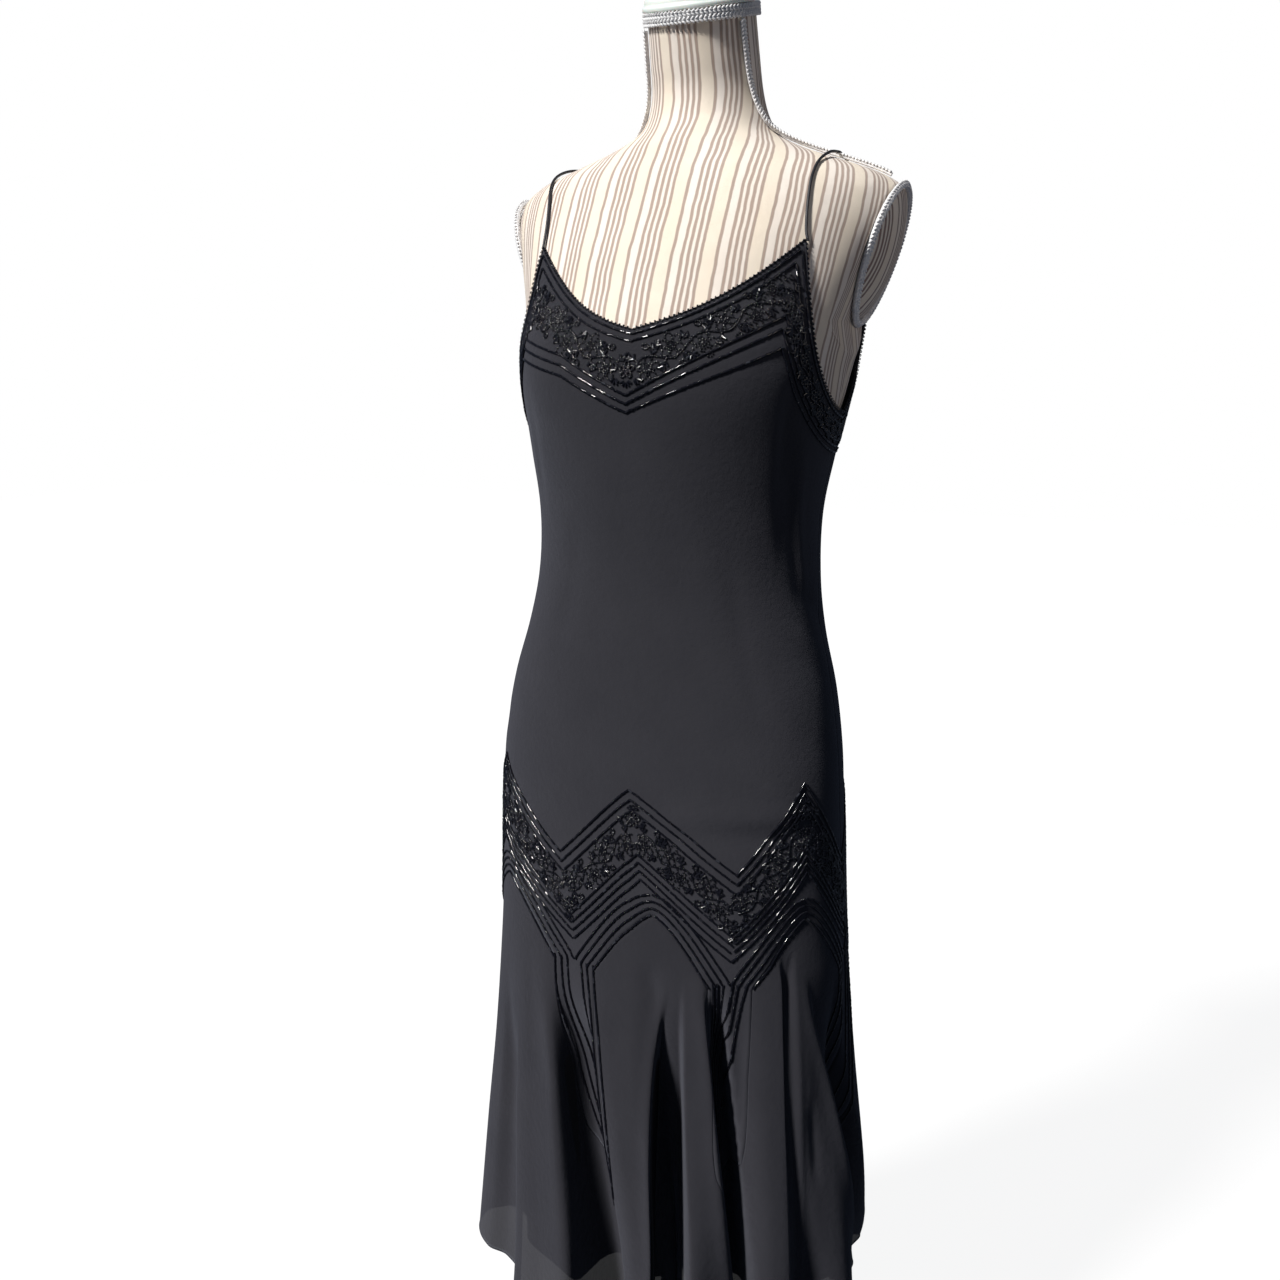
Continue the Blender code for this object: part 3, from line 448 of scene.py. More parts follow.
def quads(place):
    """The faces between a grid of point numbers."""
    corners = (place[:-1, :-1], place[:-1, 1:], place[1:, 1:], place[1:, :-1])
    return np.stack(corners, axis=-1).reshape(-1, 4)


def mesh_object(name, points, faces, finish, slot):
    """A new piece that rides on the part's one body."""
    mesh = bpy.data.meshes.new(name)
    mesh.from_pydata(np.asarray(points).reshape(-1, 3).tolist(), [], np.asarray(faces).tolist())
    mesh.materials.append(finish)
    mesh.shade_smooth()
    made = bpy.data.objects.new(name, mesh)
    bpy.context.scene.collection.objects.link(made)
    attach(made, BODY)
    return made


def add_wall(made, wall):
    thick = made.modifiers.new("wall", "SOLIDIFY")
    thick.thickness = wall
    thick.offset = -1.0
    thick.use_even_offset = True


def unit(vectors):
    return vectors / np.linalg.norm(vectors, axis=-1, keepdims=True)


# ---------------------------------------------------------------- materials
class Finish:
    """A procedural material, built node by node."""

    def __init__(self, name):
        self.made = bpy.data.materials.new(name)
        self.made.use_nodes = True
        self.tree = self.made.node_tree
        self.shader = self.tree.nodes["Principled BSDF"]

    def add(self, kind, wires=None, **settings):
        node = self.tree.nodes.new(kind)
        for key, value in settings.items():
            setattr(node, key, value)
        for key, value in (wires or {}).items():
            self.wire(node.inputs[key], value)
        return node

    def wire(self, socket, value):
        if isinstance(value, bpy.types.NodeSocket):
            self.tree.links.new(value, socket)
        else:
            socket.default_value = value

    def math(self, operation, first, second=0.0):
        node = self.add("ShaderNodeMath", operation=operation)
        self.wire(node.inputs[0], first)
        self.wire(node.inputs[1], second)
        return node.outputs[0]

    def places(self):
        return self.add("ShaderNodeTexCoord").outputs["Object"]

    def noise(self, scale, detail=3.0, roughness=0.6, at=None):
        wires = {"Vector": at or self.places(), "Scale": scale, "Detail": detail, "Roughness": roughness}
        return self.add("ShaderNodeTexNoise", wires).outputs["Fac"]

    def ramp(self, fac, stops, interpolation="LINEAR"):
        node = self.add("ShaderNodeValToRGB", {"Fac": fac})
        band = node.color_ramp
        band.interpolation = interpolation
        while len(band.elements) < len(stops):
            band.elements.new(0.5)
        for element, (place, colour) in zip(band.elements, stops):
            element.position = place
            element.color = (*colour, 1.0)
        return node.outputs["Color"]

    def mottled(self, scale, low, high, detail=3.0):
        """Two tones, one running softly into the other."""
        return self.ramp(self.noise(scale, detail), [(0.3, low), (0.7, high)])

    def bump(self, *layers):
        """Layers of (height socket, distance), one on the other."""
        normal = None
        for height, distance in layers:
            node = self.add("ShaderNodeBump", {"Height": height, "Distance": distance})
            if normal:
                self.wire(node.inputs["Normal"], normal)
            normal = node.outputs["Normal"]
        self.wire(self.shader.inputs["Normal"], normal)

    def set(self, **values):
        for key, value in values.items():
            self.wire(self.shader.inputs[key.replace("_", " ")], value)
        return self


def georgette(name, alpha=1.0):
    """Matt black crepe georgette: fine pebbled surface, a little bluish where light grazes it."""
    cloth = Finish(name)
    tone = cloth.mottled(9.0, (0.0265, 0.0262, 0.0325), (0.0335, 0.0330, 0.0400), 4.0)
    pebble = cloth.noise(1500.0, 2.0, 0.7)
    weave = cloth.add("ShaderNodeTexVoronoi", {"Vector": cloth.places(), "Scale": 1900.0}).outputs["Distance"]
    cloth.set(Base_Color=tone, Roughness=0.90, Diffuse_Roughness=1.0, Alpha=alpha)
    cloth.set(Sheen_Weight=0.12, Sheen_Roughness=0.50, Sheen_Tint=(0.62, 0.68, 0.82, 1.0))
    cloth.set(Specular_IOR_Level=0.18)
    cloth.bump((cloth.noise(160.0, 3.0), 0.0006), (pebble, 0.00025), (weave, 0.00012))
    return cloth.made


def lining_satin():
    cloth = Finish("lining_cloth")
    tone = cloth.mottled(14.0, (0.006, 0.006, 0.008), (0.010, 0.010, 0.013))
    cloth.set(Base_Color=tone, Roughness=0.55, Specular_IOR_Level=0.3)
    cloth.bump((cloth.noise(1200.0, 2.0), 0.00012),)
    return cloth.made


def rouleau():
    cloth = Finish("strap_cloth")
    tone = cloth.mottled(300.0, (0.010, 0.010, 0.013), (0.022, 0.022, 0.027))
    cloth.set(Base_Color=tone, Roughness=0.55)
    cloth.bump((cloth.noise(1300.0, 2.0), 0.00015),)
    return cloth.made


def bead_glass():
    """Polished black glass, each bead a little different."""
    glass = Finish("bead_glass")
    each = glass.add("ShaderNodeNewGeometry").outputs["Random Per Island"]
    tone = glass.ramp(each, [(0.0, (0.002, 0.002, 0.004)), (0.75, (0.004, 0.004, 0.007)),
                             (0.93, (0.010, 0.010, 0.014)), (1.0, (0.030, 0.032, 0.040))])
    rough = glass.ramp(each, [(0.0, (0.07, 0.07, 0.07)), (0.6, (0.14, 0.14, 0.14)),
                              (1.0, (0.04, 0.04, 0.04))])
    glass.set(Base_Color=tone, Roughness=rough, IOR=1.50)
    return glass.made


STRIPE_PERIOD = 0.0436
STRIPE_STARTS = (0.0, 0.0103, 0.0163, 0.0223, 0.0283)
STRIPE_WIDTH = 0.0041
STRIPE_EDGE = 0.0009


def striped_cotton(name, wide, narrow, stripe):
    """Cream cotton with woven stripes: one alone, then four close together, then a wide plain gap."""
    cloth = Finish(name)
    place = cloth.add("ShaderNodeUVMap", uv_map="cloth").outputs["UV"]
    waver = cloth.noise(26.0, 2.0)
    split = cloth.add("ShaderNodeSeparateXYZ", {"Vector": place})
    across = cloth.math("ADD", split.outputs["X"], cloth.math("MULTIPLY", waver, 0.004))
    fac = cloth.math("FRACT", cloth.math("DIVIDE", across, STRIPE_PERIOD))
    stops = []
    for number, start in enumerate(STRIPE_STARTS):
        before = wide if number == 0 else narrow
        after = wide if number == len(STRIPE_STARTS) - 1 else narrow
        for at, colour in ((start, before), (start + STRIPE_EDGE, stripe),
                           (start + STRIPE_WIDTH - STRIPE_EDGE, stripe), (start + STRIPE_WIDTH, after)):
            stops.append((at / STRIPE_PERIOD, colour))
    colours = cloth.ramp(fac, stops)
    threads = cloth.add("ShaderNodeTexWave", {"Vector": place, "Scale": 420.0, "Distortion": 1.5},
                        bands_direction="Y").outputs["Fac"]
    dirt = cloth.ramp(cloth.noise(7.0, 4.0), [(0.35, (0.93, 0.91, 0.88)), (0.65, (1.0, 1.0, 1.0))])
    tone = cloth.add("ShaderNodeMix", data_type="RGBA", blend_type="MULTIPLY")
    cloth.wire(tone.inputs["Factor"], 1.0)
    cloth.wire(tone.inputs["A"], colours)
    cloth.wire(tone.inputs["B"], dirt)
    cloth.set(Base_Color=tone.outputs["Result"], Roughness=0.92, Sheen_Weight=0.15, Specular_IOR_Level=0.2)
    cloth.bump((cloth.noise(55.0, 3.0), 0.0010), (threads, 0.00020), (cloth.noise(1500.0, 2.0), 0.00020))
    return cloth.made


def braid_yarn():
    yarn = Finish("form_braid")
    tone = yarn.mottled(240.0, (0.60, 0.60, 0.61), (0.84, 0.84, 0.84))
    yarn.set(Base_Color=tone, Roughness=0.5, Sheen_Weight=0.4)
    yarn.bump((yarn.noise(1600.0, 2.0), 0.0003),)
    return yarn.made


def cap_plastic():
    cap = Finish("cap_plastic")
    tone = cap.mottled(22.0, (0.68, 0.73, 0.69), (0.74, 0.79, 0.74))
    cap.set(Base_Color=tone, Roughness=0.38, Subsurface_Weight=0.08)
    cap.bump((cap.noise(420.0, 2.0), 0.0001),)
    return cap.made


def stand_paint():
    paint = Finish("stand_metal")
    tone = paint.mottled(30.0, (0.030, 0.030, 0.033), (0.042, 0.042, 0.045))
    rough = paint.mottled(60.0, (0.36, 0.36, 0.36), (0.48, 0.48, 0.48))
    paint.set(Base_Color=tone, Roughness=rough)
    paint.bump((paint.noise(1400.0, 2.0), 0.0001),)
    return paint.made


# ---------------------------------------------------------------- cloth
BODY_ROWS = 100
GODET_ROWS = 84
GODET_COLUMNS = 85
COLUMNS_OVER_ARCH = 30
COLUMNS_OVER_STRIP = 14
ROWS_DOWN_STRIP = 70
NEAREST_COLUMNS = 1e-3
LINING_ROWS = 40
LINING_COLUMNS = 260


def body_columns(strips):
    """Design angles of a body panel's columns, closest over the arches' feet."""
    over_arch = GODET_HALF * np.sin(np.linspace(-1, 1, COLUMNS_OVER_ARCH + 1) * pi / 2)
    half = 30.0 - GODET_HALF
    angles = {strips[0] + SEAM_ANGLE / 2, strips[-1] - SEAM_ANGLE / 2}
    for strip in strips[:-1]:
        angles |= set(np.round(strip + 30.0 + over_arch, 6))
    for strip in strips:
        spread = strip + np.linspace(-half, half, COLUMNS_OVER_STRIP + 1)
        angles |= {round(angle, 6) for angle in spread
                   if strips[0] + SEAM_ANGLE < angle < strips[-1] - SEAM_ANGLE}
    ordered = sorted(angles)
    kept = [ordered[0]]
    for angle in ordered[1:]:
        if angle - kept[-1] > NEAREST_COLUMNS:
            kept.append(angle)
    return np.array(kept)


def body_panel(name, strips, finish):
    angles = body_columns(strips)
    levels = np.linspace(0, 1, BODY_ROWS)[:, None]
    bottom, top = body_bottom(angles), neckline(angles)
    points = [cloth_point(angles, bottom + (top - bottom) * levels)]
    faces = [grid_faces(BODY_ROWS, len(angles))]
    count = BODY_ROWS * len(angles)
    half = 30.0 - GODET_HALF
    heights = np.linspace(ARCH_FOOT, STRIP_END, ROWS_DOWN_STRIP)[1:]
    for strip in strips:
        roots = np.flatnonzero(np.abs(angles - strip) <= half + 0.01)
        narrow = np.degrees(strip_half(heights) / HIP_RADIUS)[:, None] / half
        points.append(cloth_point(strip + (angles[roots] - strip) * narrow, heights[:, None]))
        new = len(heights) * len(roots)
        place = np.concatenate((roots[None, :], count + np.arange(new).reshape(-1, len(roots))))
        faces.append(quads(place)[:, [3, 2, 1, 0]])
        count += new
    points = np.concatenate([block.reshape(-1, 3) for block in points])
    made = mesh_object("dress_" + name, points, np.concatenate(faces), finish, "outer_cloth")
    add_wall(made, SHELL_WALL)
    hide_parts(name)
    return made


AT_STRIP_END = 0.0001
COLUMNS_CLOSER = 0.35


def godet_half_angle(height):
    beside_strip = 30.0 - np.degrees(strip_half(height) / HIP_RADIUS) - SEAM_ANGLE
    return np.where(height >= STRIP_END - AT_STRIP_END, beside_strip, 30.0)


def godet_place(centre, across, down):
    """Design angle and height; across runs from -1 to 1 and down from 0 at the arch to 1 at the hem."""
    low = hem_height(centre + 30.0 * across)
    foot_share = (ARCH_FOOT - STRIP_END) / (ARCH_FOOT - OUTER_HEM)
    level = 1 - down / foot_share
    side = np.where(down <= foot_share, STRIP_END + (ARCH_FOOT - STRIP_END) * level,
                    STRIP_END + (low - STRIP_END) * (down - foot_share) / (1 - foot_share))
    raised = np.where(down <= foot_share, (arch(across) - ARCH_FOOT) * level, 0.0)
    return centre + across * godet_half_angle(side), side + raised


def godet_panel(name, centre, finish):
    bend = np.linspace(-1, 1, GODET_COLUMNS)
    across = np.sin(bend * pi / 2) * COLUMNS_CLOSER + bend * (1 - COLUMNS_CLOSER)
    down = np.linspace(1, 0, GODET_ROWS)[:, None]
    design, height = godet_place(centre, across[None, :], down)
    made = mesh_object("dress_" + name, cloth_point(design, height), grid_faces(*design.shape),
                       finish, "outer_cloth")
    add_wall(made, SHELL_WALL)
    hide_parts(name)
    return made


def lining_skirt(finish):
    columns = np.linspace(-90.0, 270.0, LINING_COLUMNS + 1)[:-1]
    heights = np.linspace(LINING_HEM, LINING_TOP, LINING_ROWS)[:, None]
    drop = np.clip((LINING_SEAM - heights) / (LINING_SEAM - LINING_HEM), 0, 1)
    inside = CLOTH_WALL + LINING_ROOM_TOP + LINING_ROOM_HEM * drop
    calmer = -LINING_CALM * fold(columns, heights) * drop
    wave = wave_of(columns, LINING_WAVE) * drop
    points = cloth_point(columns, heights + wave, calmer - inside)
    made = mesh_object("lining", points, grid_faces(LINING_ROWS, LINING_COLUMNS, closed=True),
                       finish, "lining_cloth")
    add_wall(made, SHELL_WALL)
    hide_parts("lining_skirt")
    return made


# ---------------------------------------------------------------- beads
BUGLE_LENGTH = 0.0044
BUGLE_RADIUS = 0.00115
SEED_LENGTH = 0.0016
SEED_RADIUS = 0.00122
BEAD_GAP = 0.00025
BEAD_SIDES = 6
BEAD_REST = 0.75
LOOK_AHEAD = 0.002
HEADING_STEP = 0.001
LOOSE = 0.10
LOOSER = 0.16
TILT_SHARE = 0.8


def turned_shape(profile, capped):
    """A small faceted shape of (radius, place along) pairs; beads are open, as they are bored."""
    turns = np.arange(BEAD_SIDES) * 2 * pi / BEAD_SIDES
    points = np.array([(place, radius * np.cos(t), radius * np.sin(t))
                       for radius, place in profile for t in turns])
    faces = grid_faces(len(profile), BEAD_SIDES, closed=True)
    if capped:
        last = (len(profile) - 1) * BEAD_SIDES
        caps = np.array([[3, 2, 1, 0], [5, 4, 3, 0], [0, 1, 2, 3], [0, 3, 4, 5]])
        caps[2:] += last
        faces = np.concatenate((faces, caps))
    return points, faces


BUGLE = turned_shape(((1.0, -0.5), (1.0, 0.5)), False)
SEED = turned_shape(((0.62, -0.5), (1.0, 0.0), (0.62, 0.5)), False)
GRAIN = turned_shape(((0.35, -0.5), (0.85, -0.3), (1.0, 0.0), (0.85, 0.3), (0.35, 0.5)), True)


def lay(shape, centres, axes, normals, lengths, radii, rolls):
    """Copies of a small shape, each with its own place, axis and roll, as one set of points and faces."""
    local, faces = shape
    axes = unit(axes)
    side = unit(np.cross(normals, axes))
    above = np.cross(axes, side)
    across = above * np.cos(rolls)[:, None] + side * np.sin(rolls)[:, None]
    other = np.cross(axes, across)
    points = (centres[:, None, :] + axes[:, None, :] * local[None, :, :1] * lengths[:, None, None]
              + across[:, None, :] * local[None, :, 1:2] * radii[:, None, None]
              + other[:, None, :] * local[None, :, 2:3] * radii[:, None, None])
    starts = np.arange(len(centres)) * len(local)
    return points.reshape(-1, 3), (faces[None] + starts[:, None, None]).reshape(-1, 4)


def joined(blocks):
    points, faces, count = [], [], 0
    for block_points, block_faces in blocks:
        points.append(block_points)
        faces.append(block_faces + count)
        count += len(block_points)
    return np.concatenate(points), np.concatenate(faces)


class Beadwork:
    """Beads sewn to the cloth, each at a design angle and height, with a heading in metres."""

    def __init__(self):
        self.rows = []

    def add(self, design, height, right, up, kind, scale=1.0):
        """kind is 0 for a seed bead and 1 for a bugle bead."""
        wide = [np.broadcast_to(np.asarray(value, float), np.shape(design)).ravel()
                for value in (design, height, right, up, kind, scale)]
        self.rows.append(np.stack(wide, axis=1))

    def string(self, design, height, pattern=(1, 0), scale=1.0):
        """Beads one after another along a line, in a repeating pattern of kinds."""
        if len(design) < 2:
            return
        along = lengths_along(design, height)
        lengths = np.array([(BUGLE_LENGTH if kind else SEED_LENGTH) * scale + BEAD_GAP for kind in pattern])
        repeats = int(along[-1] / lengths.sum()) + 1
        kinds = np.tile(pattern, repeats)
        centres = np.cumsum(np.tile(lengths, repeats)) - np.tile(lengths, repeats) / 2
        kept = centres < along[-1] - SEED_LENGTH / 2
        kinds, centres = kinds[kept], centres[kept]
        if not len(centres):
            return
        at_design, at_height = np.interp(centres, along, design), np.interp(centres, along, height)
        turn, rise = (np.interp(centres + LOOK_AHEAD, along, values)
                      - np.interp(centres - LOOK_AHEAD, along, values) for values in (design, height))
        self.add(at_design, at_height, *in_metres(at_design, at_height, turn, rise), kinds, scale)

    def make(self, name, finish, loose=LOOSE):
        """One mesh of all the beads, each turned a little from its neighbours."""
        design, height, right, up, kind, scale = np.concatenate(self.rows).T
        size = np.hypot(right, up)
        right, up = right / size, up / size
        turn = RANDOM.normal(0.0, loose, len(design))
        right, up = right * np.cos(turn) - up * np.sin(turn), right * np.sin(turn) + up * np.cos(turn)
        radius = np.where(kind > 0.5, BUGLE_RADIUS, SEED_RADIUS) * scale
        step_x, step_z = right * HEADING_STEP, up * HEADING_STEP
        rest = radius * BEAD_REST
        middle = cloth_point(design, height, rest)
        ahead = cloth_point(*moved(design, height, step_x, step_z), rest)
        beside = cloth_point(*moved(design, height, -step_z, step_x), rest)
        axis = unit(ahead - middle)
        normal = unit(np.cross(axis, beside - middle))
        axis = unit(axis + normal * RANDOM.normal(0.0, loose * TILT_SHARE, len(design))[:, None])
        roll = RANDOM.uniform(0.0, 2 * pi, len(design))
        blocks = []
        for chosen, shape, length in ((kind < 0.5, SEED, SEED_LENGTH), (kind > 0.5, BUGLE, BUGLE_LENGTH)):
            places = (values[chosen] for values in (middle, axis, normal, length * scale, radius, roll))
            blocks.append(lay(shape, *places))
        return mesh_object(name, *joined(blocks), finish, "bead_glass")


# Motifs: rows of (x, y, heading, kind) in metres, round their own middle, x along the band.
SEED_PITCH = 0.0020
STEM_PITCH = 0.0021
LEAF_REACH = 0.0032
LEAF_SPREAD = 0.70


def ring_of(count, radius_x, radius_y, centre=(0.0, 0.0), turn=0.0):
    """Seed beads round an ellipse that is turned about its centre."""
    t = np.arange(count) * 2 * pi / count
    x, y = radius_x * np.cos(t), radius_y * np.sin(t)
    heading = np.arctan2(radius_y * np.cos(t), -radius_x * np.sin(t)) + turn
    return np.stack((centre[0] + x * np.cos(turn) - y * np.sin(turn),
                     centre[1] + x * np.sin(turn) + y * np.cos(turn), heading, np.zeros(count)), axis=1)


def rosette(size, petals=5, turn=0.0):
    """A flower: looped petals round a small ring."""
    parts = [ring_of(6, 0.0021, 0.0021), np.zeros((1, 4))]
    for petal in range(petals):
        t = turn + 2 * pi * petal / petals
        reach = size * 0.66
        parts.append(ring_of(9, size * 0.36, size * 0.27, (reach * np.cos(t), reach * np.sin(t)), t))
    return np.concatenate(parts)


def sprig(length, leaves, bow):
    """A bowed stem of seed beads with pairs of bugle leaves."""
    steps = np.linspace(0, 1, int(length / STEM_PITCH) + 1)
    heading = np.arctan2(bow * pi * np.cos(steps * pi), length)
    parts = [np.stack((steps * length, bow * np.sin(steps * pi), heading, np.zeros(len(steps))), axis=1)]
    for leaf in range(leaves):
        u = (leaf + 1.0) / (leaves + 0.4)
        along = np.arctan2(bow * pi * np.cos(u * pi), length)
        for side in (1.0, -1.0):
            t = along + side * LEAF_SPREAD
            x, y = u * length + LEAF_REACH * np.cos(t), bow * np.sin(u * pi) + LEAF_REACH * np.sin(t)
            parts.append(np.array([[x, y, t, 1.0]]))
    return np.concatenate(parts)


def curl(radius, turns=1.3, hand=1.0):
    """A tendril that winds in."""
    count = int(turns * 2 * pi * radius * 0.62 / SEED_PITCH)
    u = np.linspace(0, 1, count)
    t, r = hand * u * turns * 2 * pi, radius * (1 - 0.72 * u)
    x, y = r * np.cos(t), r * np.sin(t)
    return np.stack((x, y, np.arctan2(np.gradient(y), np.gradient(x)), np.zeros(count)), axis=1)


def fan(count, spread, reach=0.0050, start=0.0024):
    """Bugle beads that spread from one point."""
    t = np.linspace(-spread / 2, spread / 2, count)
    middle = start + reach / 2
    return np.stack((middle * np.cos(t), middle * np.sin(t), t, np.ones(count)), axis=1)


def placed(motif, x, y, turn=0.0):
    c, s = np.cos(turn), np.sin(turn)
    return np.stack((x + motif[:, 0] * c - motif[:, 1] * s, y + motif[:, 0] * s + motif[:, 1] * c,
                     motif[:, 2] + turn, motif[:, 3]), axis=1)


class Band:
    """A band along a line on the cloth, with places given along it and across it."""

    def __init__(self, design, height, hand=1.0):
        self.design, self.height, self.hand = design, height, hand
        self.along = lengths_along(design, height)
        self.length = self.along[-1]

    def at(self, place):
        return np.interp(place, self.along, self.design), np.interp(place, self.along, self.height)

    def sew(self, beads, motif, scale=1.0):
        """Adds a motif's beads: its x runs along the band, and its y across, upward if the hand is 1."""
        s, y, heading, kind = motif.T
        design, height = self.at(s)
        before, after = self.at(s - 2 * LOOK_AHEAD), self.at(s + 2 * LOOK_AHEAD)
        run_x, run_z = in_metres(design, height, after[0] - before[0], after[1] - before[1])
        size = np.hypot(run_x, run_z)
        run_x, run_z = run_x / size, run_z / size
        up_x, up_z = -run_z * self.hand, run_x * self.hand
        right = run_x * np.cos(heading) + up_x * np.sin(heading)
        rise = run_z * np.cos(heading) + up_z * np.sin(heading)
        beads.add(*moved(design, height, up_x * y, up_z * y), right, rise, kind, scale)


STEM_WAVE = 0.30
HIP_PACE = 1.38
BAND_ENDS = 0.004


def fill_band(beads, band, half_width, pace=HIP_PACE, start=BAND_ENDS, end=BAND_ENDS):
    """A running vine: flowers on alternate sides of a waving stem, with sprigs and curls between."""
    room = band.length - start - end
    wide = half_width
    count = max(int(round(room / (wide * pace))), 1)
    pitch = room / count
    s = np.arange(0, room, SEED_PITCH)
    stem_y = STEM_WAVE * wide * np.sin((s / pitch) * pi)
    heading = np.arctan2(np.gradient(stem_y), np.gradient(s))
    parts = [np.stack((start + s, stem_y, heading, np.zeros(len(s))), axis=1)]
    for number in range(count):
        side = 1.0 if number % 2 == 0 else -1.0
        middle = start + (number + 0.5) * pitch
        size = wide * (0.62 + 0.06 * (number % 3))
        pieces = [
            (rosette(size, 5 + number % 2, 0.5 * number), 0.0, -side * 0.32, 0.0),
            (ring_of(8, wide * 0.17, wide * 0.13), 0.14, side * 0.78, -0.5 * side),
            (sprig(pitch * 0.50, 3, 0.0016 * side), 0.24, side * 0.06, side * 0.85),
            (sprig(pitch * 0.40, 2, -0.0012 * side), -0.28, side * 0.12, side * 2.2),
            (curl(wide * 0.24, 1.2, side), 0.50, -side * 0.58, 0.0),
            (fan(4, 1.7), -0.47, -side * 0.50, -side * 1.8),
        ]
        parts += [placed(motif, middle + x * pitch, y * wide, turn) for motif, x, y, turn in pieces]
    band.sew(beads, np.concatenate(parts))


# ---------------------------------------------------------------- the bead lines of the dress
# Where the zigzag's points lie: at a godet's centre or a strip, the height of its top line, and
# how far to the side of the centre it hangs.
POINT_COLUMNS = ("design_angle", "height", "aside")
PEAKS = ((-60.0, 0.832, -4.4), (0.0, 0.829, -3.9), (60.0, 0.843, 1.5), (120.0, 0.838, 0.0),
         (180.0, 0.834, 1.5), (240.0, 0.836, 0.0))
TROUGHS = ((-30.0, 0.749, -2.5), (30.0, 0.751, 2.1), (90.0, 0.748, 0.0), (150.0, 0.750, -1.0),
           (210.0, 0.748, 1.0), (270.0, 0.748, 0.0))
ASIDE_FROM, ASIDE_TO = 0.650, 0.750
DROPS_ABOVE = (0.0, 0.0100, 0.0205)
DROPS_BELOW = (0.0660, 0.0745, 0.0830, 0.0920)
FLOWERS_DROP = 0.0432
FLOWERS_HALF = 0.0176
CORNER_OUT = 0.0125
ARCH_OFFSETS = (0.0008, 0.0082, 0.0156, 0.0228)
LEG_STEPS = 60
ABOVE_STRIP_END = 0.008
ABOVE_FOOT = 0.002
SPREAD_STEPS = 5
LEVEL_STEPS, UPRIGHT_STEPS = 2, 3

# The tails: degrees from the strip's middle for three lines on each side of it, by height.
TAIL_COLUMNS = ("height", "left_outer", "left_middle", "left_inner",
                "right_inner", "right_middle", "right_outer")
TAILS = (
    (0.382, -0.3, 0.2, 0.6, 3.6, 4.2, 4.8), (0.400, -1.2, -0.4, 0.4, 3.2, 4.3, 5.4),
    (0.450, -4.0, -2.4, -0.8, 3.0, 5.0, 7.0), (0.500, -5.8, -3.8, -1.6, 3.2, 5.8, 8.2),
    (0.560, -6.8, -4.6, -2.0, 3.6, 6.2, 8.8), (0.600, -7.2, -5.0, -2.6, 3.4, 5.8, 8.2),
    (0.634, -7.4, -5.2, -2.9, 2.6, 4.8, 7.4),
)
NARROW_TAILS = (
    (0.382, 0.2, 0.5, 0.8, 0.9, 1.1, 1.4), (0.400, -0.6, -0.2, 0.2, 0.5, 0.9, 1.5),
    (0.450, -2.2, -1.7, -1.1, -0.6, 0.3, 1.4), (0.500, -3.0, -2.5, -1.9, -1.3, 0.0, 1.4),
    (0.560, -3.8, -3.1, -2.3, -1.5, -0.2, 1.7), (0.600, -4.6, -3.5, -2.2, -0.6, 1.0, 3.1),
    (0.634, -5.8, -4.3, -2.3, 0.7, 2.5, 5.6),
)
NARROW_STRIP = 30.0
# The loop at a tail's end: its number of beads and its two radii.
TAIL_LOOP = (10, 0.0030, 0.0040)
TAIL_LOOP_DROP = 0.003


def zigzag(centre, side, drop):
    """One leg of a zigzag line, from the peak over a godet's centre to the trough beside it."""
    strip = centre + 30.0 * side
    ends = []
    for points, place in ((PEAKS, centre), (TROUGHS, strip)):
        height, aside = next(row[1:] for row in points if (row[0] - place) % 360.0 == 0.0)
        ends.append((place + aside * ramp(ASIDE_FROM, ASIDE_TO, height - drop), height))
    (high, peak), (low, trough) = ends
    u = np.linspace(0, 1, LEG_STEPS)
    return high + (low - high) * u, peak + (trough - peak) * u - drop


def seam_path():
    """The godet's seam on one side of its centre, in metres: up the strip's edge and over the arch."""
    heights = np.linspace(STRIP_END + ABOVE_STRIP_END, ARCH_FOOT, LEG_STEPS)[:-1]
    straight = np.stack((30.0 * ARC - strip_half(heights), heights), axis=1)
    across = np.linspace(1, 0, LEG_STEPS)
    curved = np.stack((across * GODET_HALF * ARC, arch(across)), axis=1)
    return np.concatenate((straight, curved))


def beside_seam(side, offset):
    """A line at a distance outside the seam, no further than the middle of the strip."""
    path = seam_path()
    run = unit(np.gradient(path, axis=0))
    spread = np.ones(SPREAD_STEPS) / SPREAD_STEPS
    normal = np.stack([np.convolve(values, spread, "same") for values in (run[:, 1], -run[:, 0])], axis=1)
    normal[:LEVEL_STEPS], normal[-UPRIGHT_STEPS:] = (1.0, 0.0), (0.0, 1.0)
    foot = strip_half(np.minimum(path[:, 1], ARCH_FOOT)) / STRIP_HALF_TOP
    room = np.where(path[:, 1] < ARCH_FOOT, foot, 1.0)
    line = path + unit(normal) * offset * room[:, None]
    line = line[line[:, 0] <= 30.0 * ARC]
    line[:, 0] *= side
    return line


CORNER_SIZE = 0.0080
CORNER_LEAVES_UP = 0.0088
CORNER_LEAVES_ASIDE = 0.0085


def sew_at(beads, design, height, motif):
    """Adds a motif's beads round one place on the cloth."""
    x, y, heading, kind = motif.T
    places = moved(np.full(len(x), design), np.full(len(x), height), x, y)
    beads.add(*places, np.cos(heading), np.sin(heading), kind)


